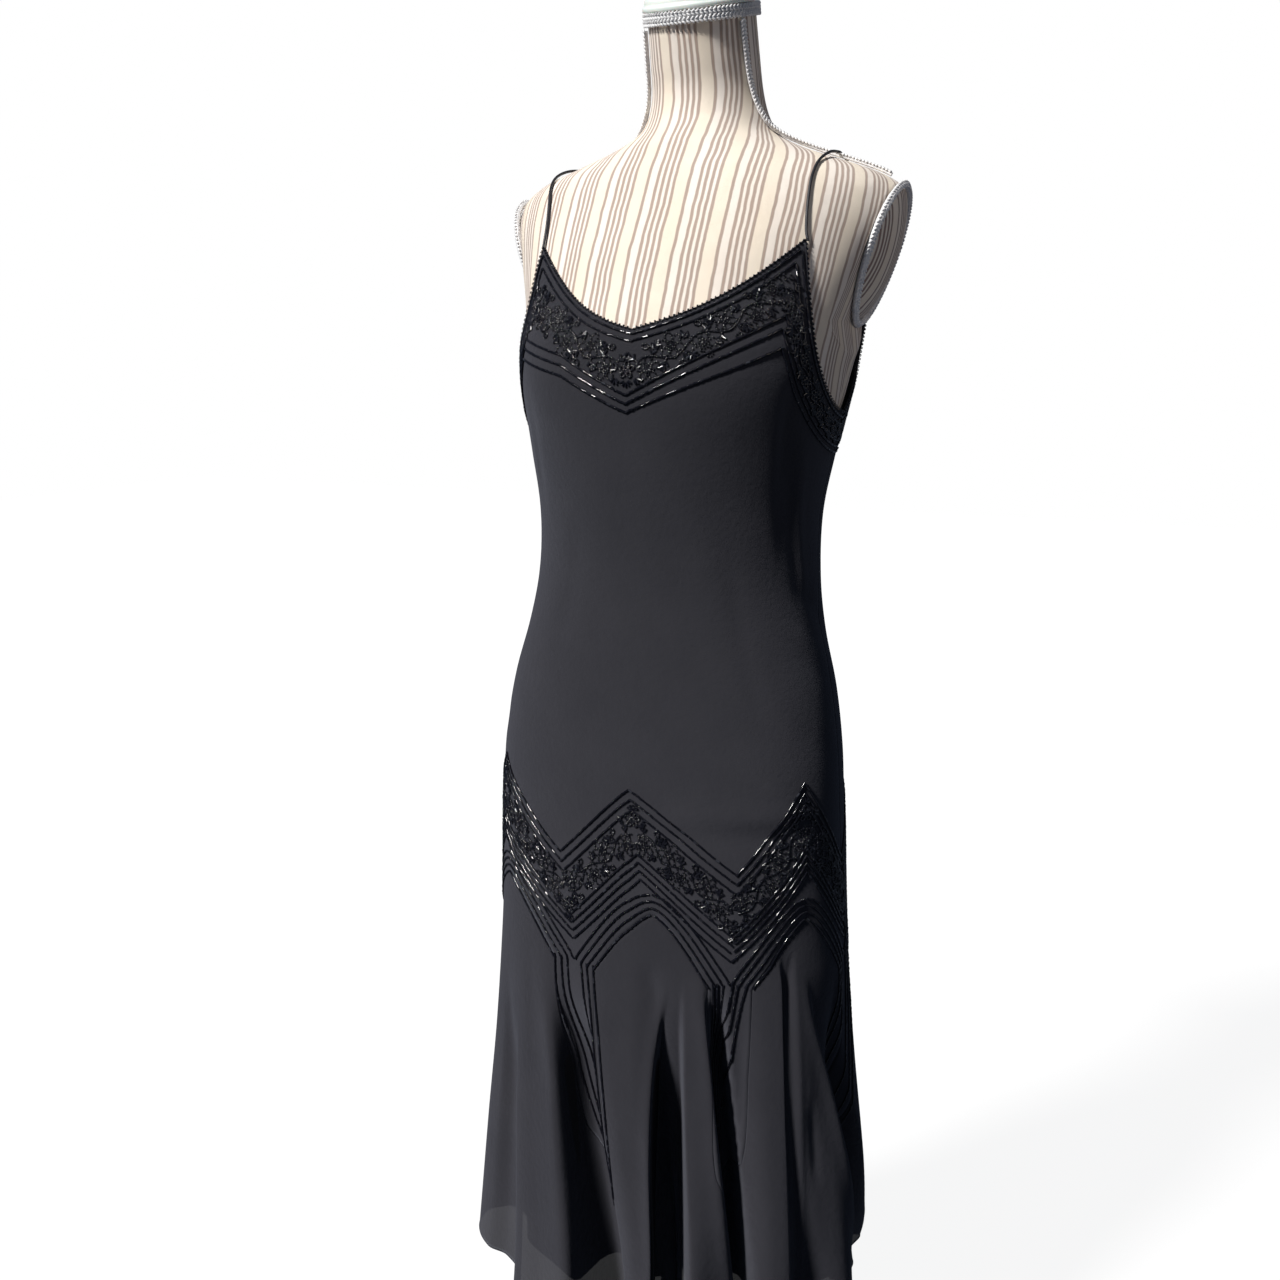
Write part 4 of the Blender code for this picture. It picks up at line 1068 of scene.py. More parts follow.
def corner_flower(beads, leg, end, upward):
    """A flower with leaves above or below it, where two legs of a band meet."""
    design, height = leg[0][end], leg[1][end]
    motif = np.concatenate((
        rosette(CORNER_SIZE, 5, 0.3),
        placed(fan(5, 2.0), 0.0, CORNER_LEAVES_UP * upward, upward * pi / 2),
        placed(fan(3, 1.2), CORNER_LEAVES_ASIDE, 0.0, -0.5 * upward),
        placed(fan(3, 1.2), -CORNER_LEAVES_ASIDE, 0.0, pi + 0.5 * upward),
    ))
    sew_at(beads, design, height, motif)


def hip_lines(beads, flowers, centres):
    for centre in centres:
        for side in (1.0, -1.0):
            for number, drop in enumerate(DROPS_ABOVE + DROPS_BELOW):
                pattern = (1, 0) if number % 2 else (1, 1, 0)
                beads.string(*zigzag(centre, side, drop), pattern)
            fill_band(flowers, Band(*zigzag(centre, side, FLOWERS_DROP), hand=side), FLOWERS_HALF)
        corner_flower(flowers, zigzag(centre, 1.0, FLOWERS_DROP - CORNER_OUT), 0, 1.0)
        corner_flower(flowers, zigzag(centre, 1.0, FLOWERS_DROP + CORNER_OUT), -1, -1.0)


def arch_lines(beads, tails):
    for centre in GODETS.values():
        for side in (1.0, -1.0):
            for number, offset in enumerate(ARCH_OFFSETS):
                line = beside_seam(side, offset)
                line = line[line[:, 1] >= ARCH_FOOT + ABOVE_FOOT]
                pattern = (1, 0, 0) if number % 2 else (1, 0)
                beads.string(centre + line[:, 0] / ARC, line[:, 1], pattern)
    for strip in ALL_STRIPS:
        rows = NARROW_TAILS if strip == NARROW_STRIP else TAILS
        height = np.linspace(rows[-1][0], rows[0][0], 3 * LEG_STEPS)
        for wanted in TAIL_COLUMNS[1:]:
            tails.string(strip + from_table(rows, TAIL_COLUMNS, wanted, height), height)
        for wanted in ("left_middle", "right_middle"):
            end = strip + column(rows, TAIL_COLUMNS, wanted)[0]
            sew_at(tails, end, rows[0][0] - TAIL_LOOP_DROP, ring_of(*TAIL_LOOP))


EDGE_OFFSETS = (0.0045, 0.0115)
BORDER_OFFSETS = (0.0280, 0.0340, 0.0400)
BORDER_FLOWERS = 0.0198
BORDER_HALF = 0.0092
BORDER_PACE = 2.10
MITRE = 9.0
CORNER_FROM = 30.0
# The three lines below the neckline: height at the centre front and rise for each degree, first on
# the wearer's left, then on the right, where they level out.
BAND_LINES = ((1.220, 0.00170, 0.00150), (1.212, 0.00160, 0.00145), (1.204, 0.00132, 0.00138))
LEVEL_FROM, LEVEL_SHARE = 24.0, 0.45
PICOT_PITCH = 0.0023
PICOT_HIGH, PICOT_LOW = 0.0010, -0.0003
TOP_FLOWER_UP = 0.0230
TOP_BAND_HALF = 0.0185
TOP_PACE = 1.42
TOP_START, TOP_END = 0.001, 0.006
TOP_BAND_FROM, TOP_BAND_TO = 1.5, 75.0
TOP_BAND_DROP = 0.002
BORDER_ENDS = 0.002
SHORTEST_RUN = 20
EDGE_STEPS = 500
BAND_STEPS = 300
PICOT_STEPS = 700
CLEAR_SHARE = 0.93


def extended_edge(side, start, end, count):
    """The dress's top edge on one side, run on straight past the centre front or back."""
    around = np.linspace(start, end, count)
    inner = np.clip(around, 0.0, 180.0)
    height = neckline(inner)
    slope_front = neckline(1.0) - neckline(0.0)
    slope_back = neckline(180.0) - neckline(179.0)
    height = (height + np.minimum(around, 0.0) * slope_front
              + np.maximum(around - 180.0, 0.0) * slope_back)
    return side * around, height


EDGE_SAMPLE = np.linspace(-180.0, 180.0, 721)
EDGE_PLACES = cloth_point(EDGE_SAMPLE, neckline(EDGE_SAMPLE))


def clear_of_edge(design, height, away):
    """Which places keep this far from the whole top edge."""
    places = cloth_point(design, height)
    gaps = np.linalg.norm(places[:, None, :] - EDGE_PLACES[None, :, :], axis=-1).min(axis=1)
    return gaps > away * CLEAR_SHARE


def runs(kept):
    """Stretches of neighbouring places that are kept."""
    marks = np.flatnonzero(np.diff(np.concatenate(([0], kept.astype(int), [0]))))
    return list(zip(marks[::2], marks[1::2]))


def edge_strings(beads, side, start, end, away, keep=None, pattern=(1, 0)):
    """Lines of beads beside a stretch of the top edge, mitred at its corners."""
    design, height = offset_line(*extended_edge(side, start, end, EDGE_STEPS), -side * away)
    kept = clear_of_edge(design, height, away) & (design * side >= 0.0) & (design * side <= 180.0)
    if keep is not None:
        kept &= keep(design, height)
    for first, last in runs(kept):
        beads.string(design[first:last], height[first:last], pattern)


def band_line(number, design):
    """Height of a line below the neckline."""
    start, left, right = BAND_LINES[number]
    around = np.abs(design)
    levelled = np.minimum(around, LEVEL_FROM) + LEVEL_SHARE * np.maximum(around - LEVEL_FROM, 0.0)
    return start + np.where(design >= 0, left * around, right * levelled)


def kept_start(design, height, away):
    """A line below the neckline, up to where it first comes too close to the edge."""
    outside = np.flatnonzero((height >= neckline(design)) | ~clear_of_edge(design, height, away))
    last = outside[0] if len(outside) else len(design)
    return design[:last], height[:last]


def top_beads(lines, flowers):
    """Neckline, armholes and back: edge lines, a vine, and three lines below it."""
    corner_flower(flowers, ((0.0,), (BAND_LINES[0][0] + TOP_FLOWER_UP,)), 0, -1.0)
    for side in (1.0, -1.0):
        for away in EDGE_OFFSETS:
            edge_strings(lines, side, -MITRE, 180.0 + MITRE, away)
        for number, away in enumerate(BORDER_OFFSETS):
            def below(design, height):
                return (height < band_line(number, design)) & (np.abs(design) > CORNER_FROM)
            edge_strings(lines, side, FRONT_TIP_ANGLE, 180.0 + MITRE, away, below, (1, 1, 0))
            design = side * np.linspace(0.0, TOP_BAND_TO, BAND_STEPS)
            lines.string(*kept_start(design, band_line(number, design), away), (1, 1, 0))
        design = side * np.linspace(TOP_BAND_FROM, TOP_BAND_TO, BAND_STEPS)
        height = (band_line(0, design) + neckline(design) - EDGE_OFFSETS[1]) / 2 - TOP_BAND_DROP
        band = Band(*kept_start(design, height, BORDER_FLOWERS), hand=side)
        fill_band(flowers, band, TOP_BAND_HALF, TOP_PACE, TOP_START, TOP_END)
        border = extended_edge(side, FRONT_TIP_ANGLE, 180.0, EDGE_STEPS)
        design, height = offset_line(*border, -side * BORDER_FLOWERS)
        around = design * side
        kept = (clear_of_edge(design, height, BORDER_FLOWERS)
                & (around > FRONT_TIP_ANGLE) & (around <= 180.0))
        for first, last in runs(kept):
            if last - first > SHORTEST_RUN:
                band = Band(design[first:last], height[first:last], hand=side)
                fill_band(flowers, band, BORDER_HALF, BORDER_PACE, BORDER_ENDS, BORDER_ENDS)
        picot = Band(*extended_edge(side, 0.0, 180.0, PICOT_STEPS))
        places = np.arange(PICOT_PITCH, picot.length, PICOT_PITCH)
        design, height = picot.at(places)
        high = np.where(np.arange(len(places)) % 2, PICOT_HIGH, PICOT_LOW)
        lines.add(design, height + high, 1.0, 0.0, 0.0)


# ---------------------------------------------------------------- cords and edges
def tube(path, normals, radius, sides, closed=False):
    """Points and faces of a round cord through an array of places."""
    if closed:
        run = unit(np.roll(path, -1, axis=0) - np.roll(path, 1, axis=0))
    else:
        run = unit(np.gradient(path, axis=0))
    side = unit(np.cross(run, normals))
    above = np.cross(side, run)
    turns = np.arange(sides) * 2 * pi / sides
    rings = (path[:, None, :] + radius * (side[:, None, :] * np.cos(turns)[None, :, None]
                                          + above[:, None, :] * np.sin(turns)[None, :, None]))
    place = np.arange(len(path) * sides).reshape(len(path), sides)
    if closed:
        place = np.concatenate((place, place[:1]))
    place = np.concatenate((place, place[:, :1]), axis=1)
    return rings.reshape(-1, 3), quads(place)[:, [0, 3, 2, 1]]


ROLL_SIDES = 6
ROLL_SUNK = 0.0003
TOP_ROLL_RADIUS, TOP_ROLL_DROP, TOP_ROLL_STEPS = 0.0010, 0.0006, 900
HEM_ROLL_RADIUS, HEM_ROLL_STEPS = 0.0008, 1080


def along_cloth(design, height, out, radius):
    path = cloth_point(design, height, out)
    normals = cloth_point(design, height, out + 0.01) - path
    return tube(path, normals, radius, ROLL_SIDES, closed=True)


def rolled_edges(finish):
    """The narrow rolls at the dress's top edge and at the outer hem."""
    around = all_round(TOP_ROLL_STEPS)
    top = along_cloth(around, neckline(around) - TOP_ROLL_DROP, -ROLL_SUNK, TOP_ROLL_RADIUS)
    mesh_object("edge_roll_top", *top, finish, "outer_cloth")
    around = all_round(HEM_ROLL_STEPS)
    hem = along_cloth(around, hem_height(around), -ROLL_SUNK, HEM_ROLL_RADIUS)
    mesh_object("edge_roll_hem", *hem, finish, "outer_cloth")


STRAP_RADIUS = 0.0015
# Where each strap crosses the shoulder, and how late it swings out on its way there: 1 is evenly.
STRAP_COLUMNS = ("side", "mirror", "crest_x", "swing")
STRAPS = (("left", 1.0, 0.137, 0.6), ("right", -1.0, 0.148, 2.0))
STRAP_LIFT = 0.0015
STRAP_ABOVE_TIP = 0.002
STRAP_STEPS = 60
STRAP_SEWN_IN = 0.004
STRAP_SHARE = 0.95
STRAP_SIDES = 12
CHEST_MIDDLE = (0.0, 0.06, 1.30)
PLATE_TOP = 1.421
PLATE_BOTTOM = 1.288
PLATE_TOP_X = 0.2060
PLATE_LEAN = 0.32
PLATE_CENTRE_Y = 0.078
PLATE_HALF_DEPTH = 0.052
PLATE_BROADER_TOP = 0.10
PLATE_SHORTER = 0.004
PLATE_BRAID_RADIUS = 0.0033
SIDE_LEAN_BELOW_PLATE = 0.25
# The padded arm plate, from its rim to its middle: share of the oval, and height of the rise.
PLATE_RISE = ((1.0, 0.0), (1.0, 0.0014), (0.97, 0.0036), (0.88, 0.0066), (0.70, 0.0104), (0.45, 0.0136),
              (0.20, 0.0150), (0.01, 0.0152))
SHOULDER_BRAID_RADIUS = 0.0022
SHOULDER_BRAID_LIFT = 0.0030
SHOULDER_SLOPE_STEP = 0.003
BRAID_TURN_STEP = 2.0
SHOULDER_BRAID_COLUMNS = ("height", "angle")
SHOULDER_BRAID = (
    (1.429, 90.0), (1.434, 90.0), (1.441, 90.0), (1.448, 90.0), (1.455, 90.0), (1.462, 86.8), (1.469, 82.8),
    (1.477, 78.4), (1.485, 74.6), (1.495, 71.2), (1.508, 68.2), (1.523, 66.0), (1.538, 64.8), (1.553, 64.2),
    (1.566, 64.0), (1.5795, 64.0),
)
NECK_BRAID_DROP = 0.0067
NECK_BRAID_OUT = 0.0036
PLATE_STRIPE_BEND = 3.4
PLATE_STRIPE_START = 0.010
NECK_LINE_Y = float(sections(NECK_TOP)["side_line"])


def leaned(points, height):
    """The slope of the neck's cut, put on points of the form."""
    lean = ramp(NECK_TILT_FROM, NECK_TOP, height) * tan(NECK_TILT)
    points = points.copy()
    points[..., 2] += lean * (points[..., 1] - NECK_LINE_Y)
    return points


def braid_point(angle, height, out):
    return leaned(body_point(angle, height, out), height)


def shoulder_normal(height):
    """Away from the left shoulder's crest, in the plane that runs from side to side."""
    height = np.asarray(height, float)
    along = unit(braid_point(90.0, height + SHOULDER_SLOPE_STEP, 0.0)
                 - braid_point(90.0, height - SHOULDER_SLOPE_STEP, 0.0))
    away = np.stack((along[..., 2], np.zeros(height.shape), -along[..., 0]), axis=-1)
    return np.where(away[..., :1] > 0, away, -away)


def form_normal(angle, height):
    """Away from the form's surface."""
    across = (braid_point(angle + BRAID_TURN_STEP, height, 0.0)
              - braid_point(angle - BRAID_TURN_STEP, height, 0.0))
    upward = (braid_point(angle, height + SHOULDER_SLOPE_STEP, 0.0)
              - braid_point(angle, height - SHOULDER_SLOPE_STEP, 0.0))
    return unit(np.cross(across, upward))


def crest_height(crest_x):
    """Height of the shoulder where a strap crosses it."""
    low, high = PLATE_TOP, NECK_TILT_FROM
    while high - low > 1e-6:
        middle = (low + high) / 2
        low, high = (middle, high) if sections(middle)["half_width"] > crest_x else (low, middle)
    return low


def strap_side(tip_angle, tip_height, crest_x, swing, front):
    """Points from a tip of the dress, at its true angle, up to the crest, on the left shoulder."""
    over_braid = SHOULDER_BRAID_LIFT + SHOULDER_BRAID_RADIUS + SEAM_GAP
    crest = crest_height(crest_x)
    start = tip_height + STRAP_ABOVE_TIP
    tip_x = body_point(tip_angle, start)[0]
    u = np.linspace(0, 1, STRAP_STEPS + 1)
    height = start + (crest - start) * np.sin(u * pi / 2)
    now = sections(height)
    square = now["front_square"] if front else now["back_square"]
    across = tip_x + (crest_x - tip_x) * ((height - start) / (crest - start)) ** swing
    around = np.degrees(np.arcsin(np.minimum((across / now["half_width"]) ** (square / 2), 1.0)))
    near_crest = ramp(0.5, 1.0, u)
    points = body_point(around if front else 180.0 - around, height,
                        (STRAP_RADIUS + STRAP_LIFT) * (1 - 0.8 * near_crest))
    points[:, 2] += over_braid * near_crest
    points[-1] = body_point(90.0, crest) + shoulder_normal(crest) * (over_braid + STRAP_RADIUS)
    return points


def strap(side_name, mirror, crest_x, swing, finish):
    """A cord from the front tip over the shoulder to the back tip."""
    front_tip = mirror * true_angle(mirror * FRONT_TIP_ANGLE, FRONT_TIP)
    back_tip = mirror * true_angle(mirror * BACK_TIP_ANGLE, BACK_TIP)
    front = strap_side(front_tip, FRONT_TIP, crest_x, swing, True)
    back = strap_side(back_tip, BACK_TIP, crest_x, swing, False)
    path = np.concatenate((front, back[-2::-1]))
    spread = np.array([1.0, 2.0, 3.0, 2.0, 1.0]) / 9.0
    soft = np.stack([np.convolve(np.pad(values, 2, "edge"), spread, "valid") for values in path.T], axis=1)
    soft[0], soft[-1] = path[0], path[-1]
    soft[0] = soft[0] - unit(soft[1] - soft[0]) * STRAP_SEWN_IN
    soft[-1] = soft[-1] - unit(soft[-2] - soft[-1]) * STRAP_SEWN_IN
    soft[:, 0] *= mirror
    cord = tube(soft, soft - np.array(CHEST_MIDDLE), STRAP_RADIUS * STRAP_SHARE, STRAP_SIDES)
    made = mesh_object("strap_cord_" + side_name, *cord, finish, "strap_cloth")
    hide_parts("strap_" + side_name)


# ---------------------------------------------------------------- the form
TORSO_ROWS = 150
TORSO_COLUMNS = 160
# The lower part has fewer rows, as the dress hides it.
LOW_ROWS = 30
LOW_ROWS_TO = 1.20
# The ends' rings: which row they lie in, and their share of it; the last is as good as a point.
END_RINGS = ((0, 0.55), (0, 0.001), (-1, 0.5), (-1, 0.001))
STRIPES_SHIFT = 0.0155
BACK_STRIPES_SHIFT = 0.011


def form_point(angle, height):
    """The form's own surface, flat where the arms would be, its neck cut on a slope."""
    points = body_point(angle, height, -UNDER_CLOTH * ramp(UNDER_CLOTH_TO, UNDER_CLOTH_FROM, height))
    height = points[..., 2]
    beside = PLATE_TOP_X - PLATE_LEAN * (PLATE_TOP - height)
    lower = (PLATE_TOP_X - PLATE_LEAN * (PLATE_TOP - PLATE_BOTTOM)
             + SIDE_LEAN_BELOW_PLATE * (PLATE_BOTTOM - height))
    limit = np.where(height > PLATE_BOTTOM, beside, lower)
    points[..., 0] = np.clip(points[..., 0], -limit, limit)
    return leaned(points, height)


def add_uv(made, places):
    """Places on the cloth in metres, for every corner of every face, so that stripes follow the cut."""
    layer = made.data.uv_layers.new(name="cloth")
    layer.data.foreach_set("uv", np.asarray(places, float).ravel())


def torso(finish):
    """The padded body of the form; its stripes run from the centre front and from the centre back."""
    angles = all_round(TORSO_COLUMNS)
    low = np.linspace(FORM_BOTTOM, LOW_ROWS_TO, LOW_ROWS)[:-1]
    heights = np.concatenate((low, np.linspace(LOW_ROWS_TO, NECK_TOP, TORSO_ROWS - len(low))))
    rings = form_point(angles[None, :], heights[:, None])
    faces = grid_faces(len(heights), len(angles), closed=True)
    count = rings.shape[0] * rings.shape[1]
    inner = []
    for row, share in END_RINGS:
        centre = rings[row].mean(axis=0)
        inner.append(centre + (rings[row] - centre) * share)
    ends = []
    wide = len(angles)
    place = np.arange(wide)
    after = np.roll(place, -1)
    below, above = count, count + 2 * wide
    for outer, inside, up in ((0, below, False), (below, below + wide, False),
                              (count - wide, above, True), (above, above + wide, True)):
        quad = np.stack((outer + place, outer + after, inside + after, inside + place), axis=1)
        ends.append(quad if up else quad[:, ::-1])
    points = np.concatenate([rings.reshape(-1, 3), *inner])
    faces = np.concatenate((faces, *ends))
    made = mesh_object("form_body", points, faces, finish, "form_fabric")
    steps = np.linalg.norm(np.roll(rings, -1, axis=1) - rings, axis=2)
    run = np.concatenate((np.zeros((len(rings), 1)), np.cumsum(steps, axis=1)), axis=1)
    centre = wide // 2
    from_front = run - run[:, centre:centre + 1]
    from_back = np.where(np.arange(wide + 1) < centre, run, run - run[:, -1:])
    corner_row, corner_column = faces // wide, faces % wide
    wraps = (corner_column.max(axis=1) - corner_column.min(axis=1)) > wide / 2
    corner_column = np.where(wraps[:, None] & (corner_column == 0), wide, corner_column)
    middle = corner_column.mean(axis=1)
    in_front = np.abs(middle - centre) < wide / 4
    row = np.clip(corner_row, 0, len(rings) - 1)
    across = np.where(in_front[:, None], from_front[row, corner_column],
                      from_back[row, corner_column] + BACK_STRIPES_SHIFT)
    add_uv(made, np.stack((across + STRIPES_SHIFT, points[faces][..., 2]), axis=-1))
    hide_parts("form_torso")


PLATE_SIDES = 96


def plate_frame(mirror):
    """Centre, level axis, rising axis and outward normal of one arm plate."""
    middle = (PLATE_TOP + PLATE_BOTTOM) / 2
    centre = np.array((mirror * (PLATE_TOP_X - PLATE_LEAN * (PLATE_TOP - middle)), PLATE_CENTRE_Y, middle))
    rising = unit(np.array((mirror * PLATE_LEAN, 0.0, 1.0)))
    outward = unit(np.array((mirror, 0.0, -PLATE_LEAN)))
    return centre, np.array((0.0, 1.0, 0.0)), rising, outward


def plate_outline(mirror, share, grow, out, sides=PLATE_SIDES):
    """An upright oval beside the plate's plane, broader at the top; share is 1 at its rim."""
    centre, level, rising, outward = plate_frame(mirror)
    half_height = (PLATE_TOP - PLATE_BOTTOM) / 2 * np.sqrt(1 + PLATE_LEAN ** 2) - PLATE_SHORTER
    t = np.arange(sides)[:, None] * 2 * pi / sides
    wide = (PLATE_HALF_DEPTH * share + grow) * np.cos(t) * (1 + PLATE_BROADER_TOP * np.sin(t))
    high = (half_height * share + grow) * np.sin(t)
    return centre + level * wide + rising * high + outward * out


def arm_plate(side_name, mirror, finish):
    """A padded plate with the striped cloth pulled over it."""
    shares, rises = np.array(PLATE_RISE).T
    steps = np.arange(len(shares))
    fine = np.concatenate((np.linspace(0, 2, 7), np.linspace(2, steps[-1], 17)[1:]))
    rings = np.stack([plate_outline(mirror, share, 0.0, SEAM_GAP + rise)
                      for share, rise in zip(np.interp(fine, steps, shares), np.interp(fine, steps, rises))])
    faces = grid_faces(len(fine), PLATE_SIDES, closed=True)
    if mirror < 0:
        faces = faces[:, ::-1]
    made = mesh_object("form_plate_" + side_name, rings, faces, finish, "plate_fabric")
    centre, level, rising, _ = plate_frame(mirror)
    corners = rings.reshape(-1, 3)[faces] - centre
    along, across = corners @ rising, corners @ level
    bend = PLATE_STRIPE_BEND * along ** 2
    add_uv(made, np.stack((across + bend + PLATE_STRIPE_START, along), axis=-1))
    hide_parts("form_arm_plate_" + side_name)


GRAIN_LOOSE = 0.06
GRAIN_LEAST, GRAIN_MOST = 0.94, 1.06
NEXT_PAIR_SHIFT = 0.25


def braid_grains(path, outward, rows, size, spacing, lift, closed=False):
    """Slanted grains of yarn in rows along a path; a row is its distance across and its slant."""
    ends = np.concatenate((path, path[:1])) if closed else path
    normals = np.concatenate((outward, outward[:1])) if closed else outward
    lengths = np.concatenate(([0.0], np.cumsum(np.linalg.norm(np.diff(ends, axis=0), axis=1))))
    count = int(lengths[-1] / spacing)
    blocks = []

    def at(place, values):
        return np.stack([np.interp(place, lengths, values[:, axis]) for axis in range(3)], axis=1)

    for number, (aside, slant) in enumerate(rows):
        place = (np.arange(count) + NEXT_PAIR_SHIFT * (number // 2)) * lengths[-1] / count
        normal = unit(at(place, normals))
        along = unit(at(place + LOOK_AHEAD, ends) - at(place - LOOK_AHEAD, ends))
        side = unit(np.cross(normal, along))
        turn = slant + RANDOM.normal(0.0, GRAIN_LOOSE, count)
        axis = along * np.cos(turn)[:, None] + side * np.sin(turn)[:, None]
        length, radius = (value * RANDOM.uniform(GRAIN_LEAST, GRAIN_MOST, count) for value in size)
        centres = at(place, ends) + side * aside + normal * lift
        blocks.append(lay(GRAIN, centres, axis, normal, length, radius, RANDOM.uniform(0, pi, count)))
    return joined(blocks)


BRAID_SLANT = 0.72
# Each braid: its rows' distances across, a grain's length and radius, the spacing and the lift.
BRAID_COLUMNS = ("asides", "grain", "spacing", "lift")
NECK_BRAID_LAY = ((-0.0046, -0.0016, 0.0016, 0.0046), (0.0050, 0.0013), 0.0042, 0.0004)
SHOULDER_BRAID_LAY = ((-0.0016, 0.0016), (0.0052, 0.0014), 0.0036, 0.0018)
ARM_BRAID_LAY = ((-0.0019, 0.0019), (0.0050, 0.0014), 0.0038, 0.0019)
NECK_BRAID_STEPS, SHOULDER_BRAID_STEPS, ARM_BRAID_STEPS = 360, 200, 240


def herringbone(name, path, outward, braid, closed, finish):
    """A braid along a path, of rows in pairs that slant towards each other."""
    asides, grain, spacing, lift = braid
    rows = [(aside, BRAID_SLANT if number % 2 else -BRAID_SLANT) for number, aside in enumerate(asides)]
    grains = braid_grains(path, outward, rows, grain, spacing, lift, closed)
    mesh_object(name, *grains, finish, "form_braid")


def braids(finish):
    """Herringbone braid round the neck, over the shoulders and round the arm plates."""
    around = all_round(NECK_BRAID_STEPS)
    path = braid_point(around, NECK_TOP - NECK_BRAID_DROP, NECK_BRAID_OUT)
    outward = braid_point(around, NECK_TOP - NECK_BRAID_DROP, NECK_BRAID_OUT + 0.01) - path
    herringbone("braid_neck", path, outward, NECK_BRAID_LAY, True, finish)
    levels = np.linspace(SHOULDER_BRAID[-1][0], SHOULDER_BRAID[0][0], SHOULDER_BRAID_STEPS)
    angles = from_table(SHOULDER_BRAID, SHOULDER_BRAID_COLUMNS, "angle", levels)
    normals = form_normal(angles, levels)
    shoulder = braid_point(angles, levels, 0.0) + normals * SHOULDER_BRAID_LIFT
    for side_name, mirror in (("left", 1.0), ("right", -1.0)):
        turned = np.array((mirror, 1.0, 1.0))
        herringbone("braid_shoulder_" + side_name, shoulder * turned, normals * turned, SHOULDER_BRAID_LAY,
                    False, finish)
        grow = PLATE_BRAID_RADIUS + SEAM_GAP
        path = plate_outline(mirror, 1.0, grow, grow, ARM_BRAID_STEPS)
        centre, _, _, away = plate_frame(mirror)
        outward = unit(unit(path - centre) * 0.8 + away)
        herringbone("braid_arm_" + side_name, path, outward, ARM_BRAID_LAY, True, finish)


CAP_PROFILE = ((0.0, 0.0172), (0.0200, 0.0171), (0.0340, 0.0166), (0.0440, 0.0158), (0.0500, 0.0148),
               (0.0540, 0.0132), (0.0560, 0.0110), (0.0567, 0.0080), (0.0568, 0.0054), (0.0585, 0.0048),
               (0.0590, 0.0040), (0.0590, 0.0012), (0.0586, 0.0006), (0.0575, 0.0003), (0.0, 0.0003))
BASE_PROFILE = ((0.0, 0.0140), (0.0300, 0.0140), (0.1380, 0.0140), (0.1450, 0.0128), (0.1480, 0.0108),
                (0.1495, 0.0080), (0.1500, 0.0050), (0.1498, 0.0015), (0.1485, 0.0), (0.0, 0.0))
POLE_PROFILE = ((0.0, 0.7967), (0.0400, 0.7967), (0.0400, 0.7930), (0.0388, 0.7920), (0.0200, 0.7850),
                (0.0150, 0.7780), (0.0126, 0.7680), (0.0125, 0.7600), (0.0125, 0.4000), (0.0125, 0.0543),
                (0.0160, 0.0530), (0.0172, 0.0480), (0.0200, 0.0360), (0.0238, 0.0243), (0.0240, 0.0160),
                (0.0240, 0.0143), (0.0, 0.0143))


def turned_piece(name, node, profile, finish, slot, at=(0.0, 0.0, 0.0), tilt=0.0, steps=96):
    """A rounded profile of (radius, height) pairs turned about an upright or tilted axis."""
    t = np.arange(steps) * 2 * pi / steps
    radius, height = np.array(profile).T
    x, y = radius[:, None] * np.cos(t), radius[:, None] * np.sin(t)
    z = np.broadcast_to(height[:, None], x.shape)
    c, s = np.cos(tilt), np.sin(tilt)
    points = np.stack((x, y * c - z * s, y * s + z * c), axis=-1) + np.array(at)
    made = mesh_object(name, points, grid_faces(len(profile), steps, closed=True)[:, ::-1], finish, slot)
    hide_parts(node)


# ---------------------------------------------------------------- the whole scene
CAMERA_PLACE = (0.5103, -1.2396, 1.26)
CAMERA_LENS = 36.06
CAMERA_DOWN, CAMERA_ROUND = 12.7, 24.0
SKY_COLOUR, SKY_STRENGTH = (0.62, 0.74, 1.0, 1.0), 0.12
SUN_COLOUR, SUN_STRENGTH = (1.0, 0.98, 0.95), 5.4
SUN_WIDTH, SUN_DOWN, SUN_ROUND = 9.0, 42.0, -30.0
SPOT_COLOUR, SPOT_POWER = (1.0, 0.86, 0.72), 16.0
SPOT_PLACE = (1.55, -0.25, 1.75)
SPOT_CONE, SPOT_SIZE, SPOT_DOWN, SPOT_ROUND = 22.0, 0.25, 15.0, 76.0
FLOOR_HALF = 9.0
FLOOR_TONE, FLOOR_GLOW = (0.10, 0.10, 0.10, 1.0), 0.91
WHITE = (1.0, 1.0, 1.0, 1.0)


def put(name, data, down=None, around=0.0):
    """A new object in the scene; with a slope, it looks that much down and turned round."""
    made = bpy.data.objects.new(name, data)
    bpy.context.scene.collection.objects.link(made)
    if down is not None:
        made.rotation_euler = (radians(90.0 - down), 0.0, radians(around))
    return made


def camera():
    """Stands where the photograph was taken: from the wearer's left front, a little above the waist."""
    view = bpy.data.cameras.new("camera")
    view.lens = CAMERA_LENS
    view.sensor_width = 36.0
    made = put("camera", view, CAMERA_DOWN, CAMERA_ROUND)
    made.location = CAMERA_PLACE
    bpy.context.scene.camera = made


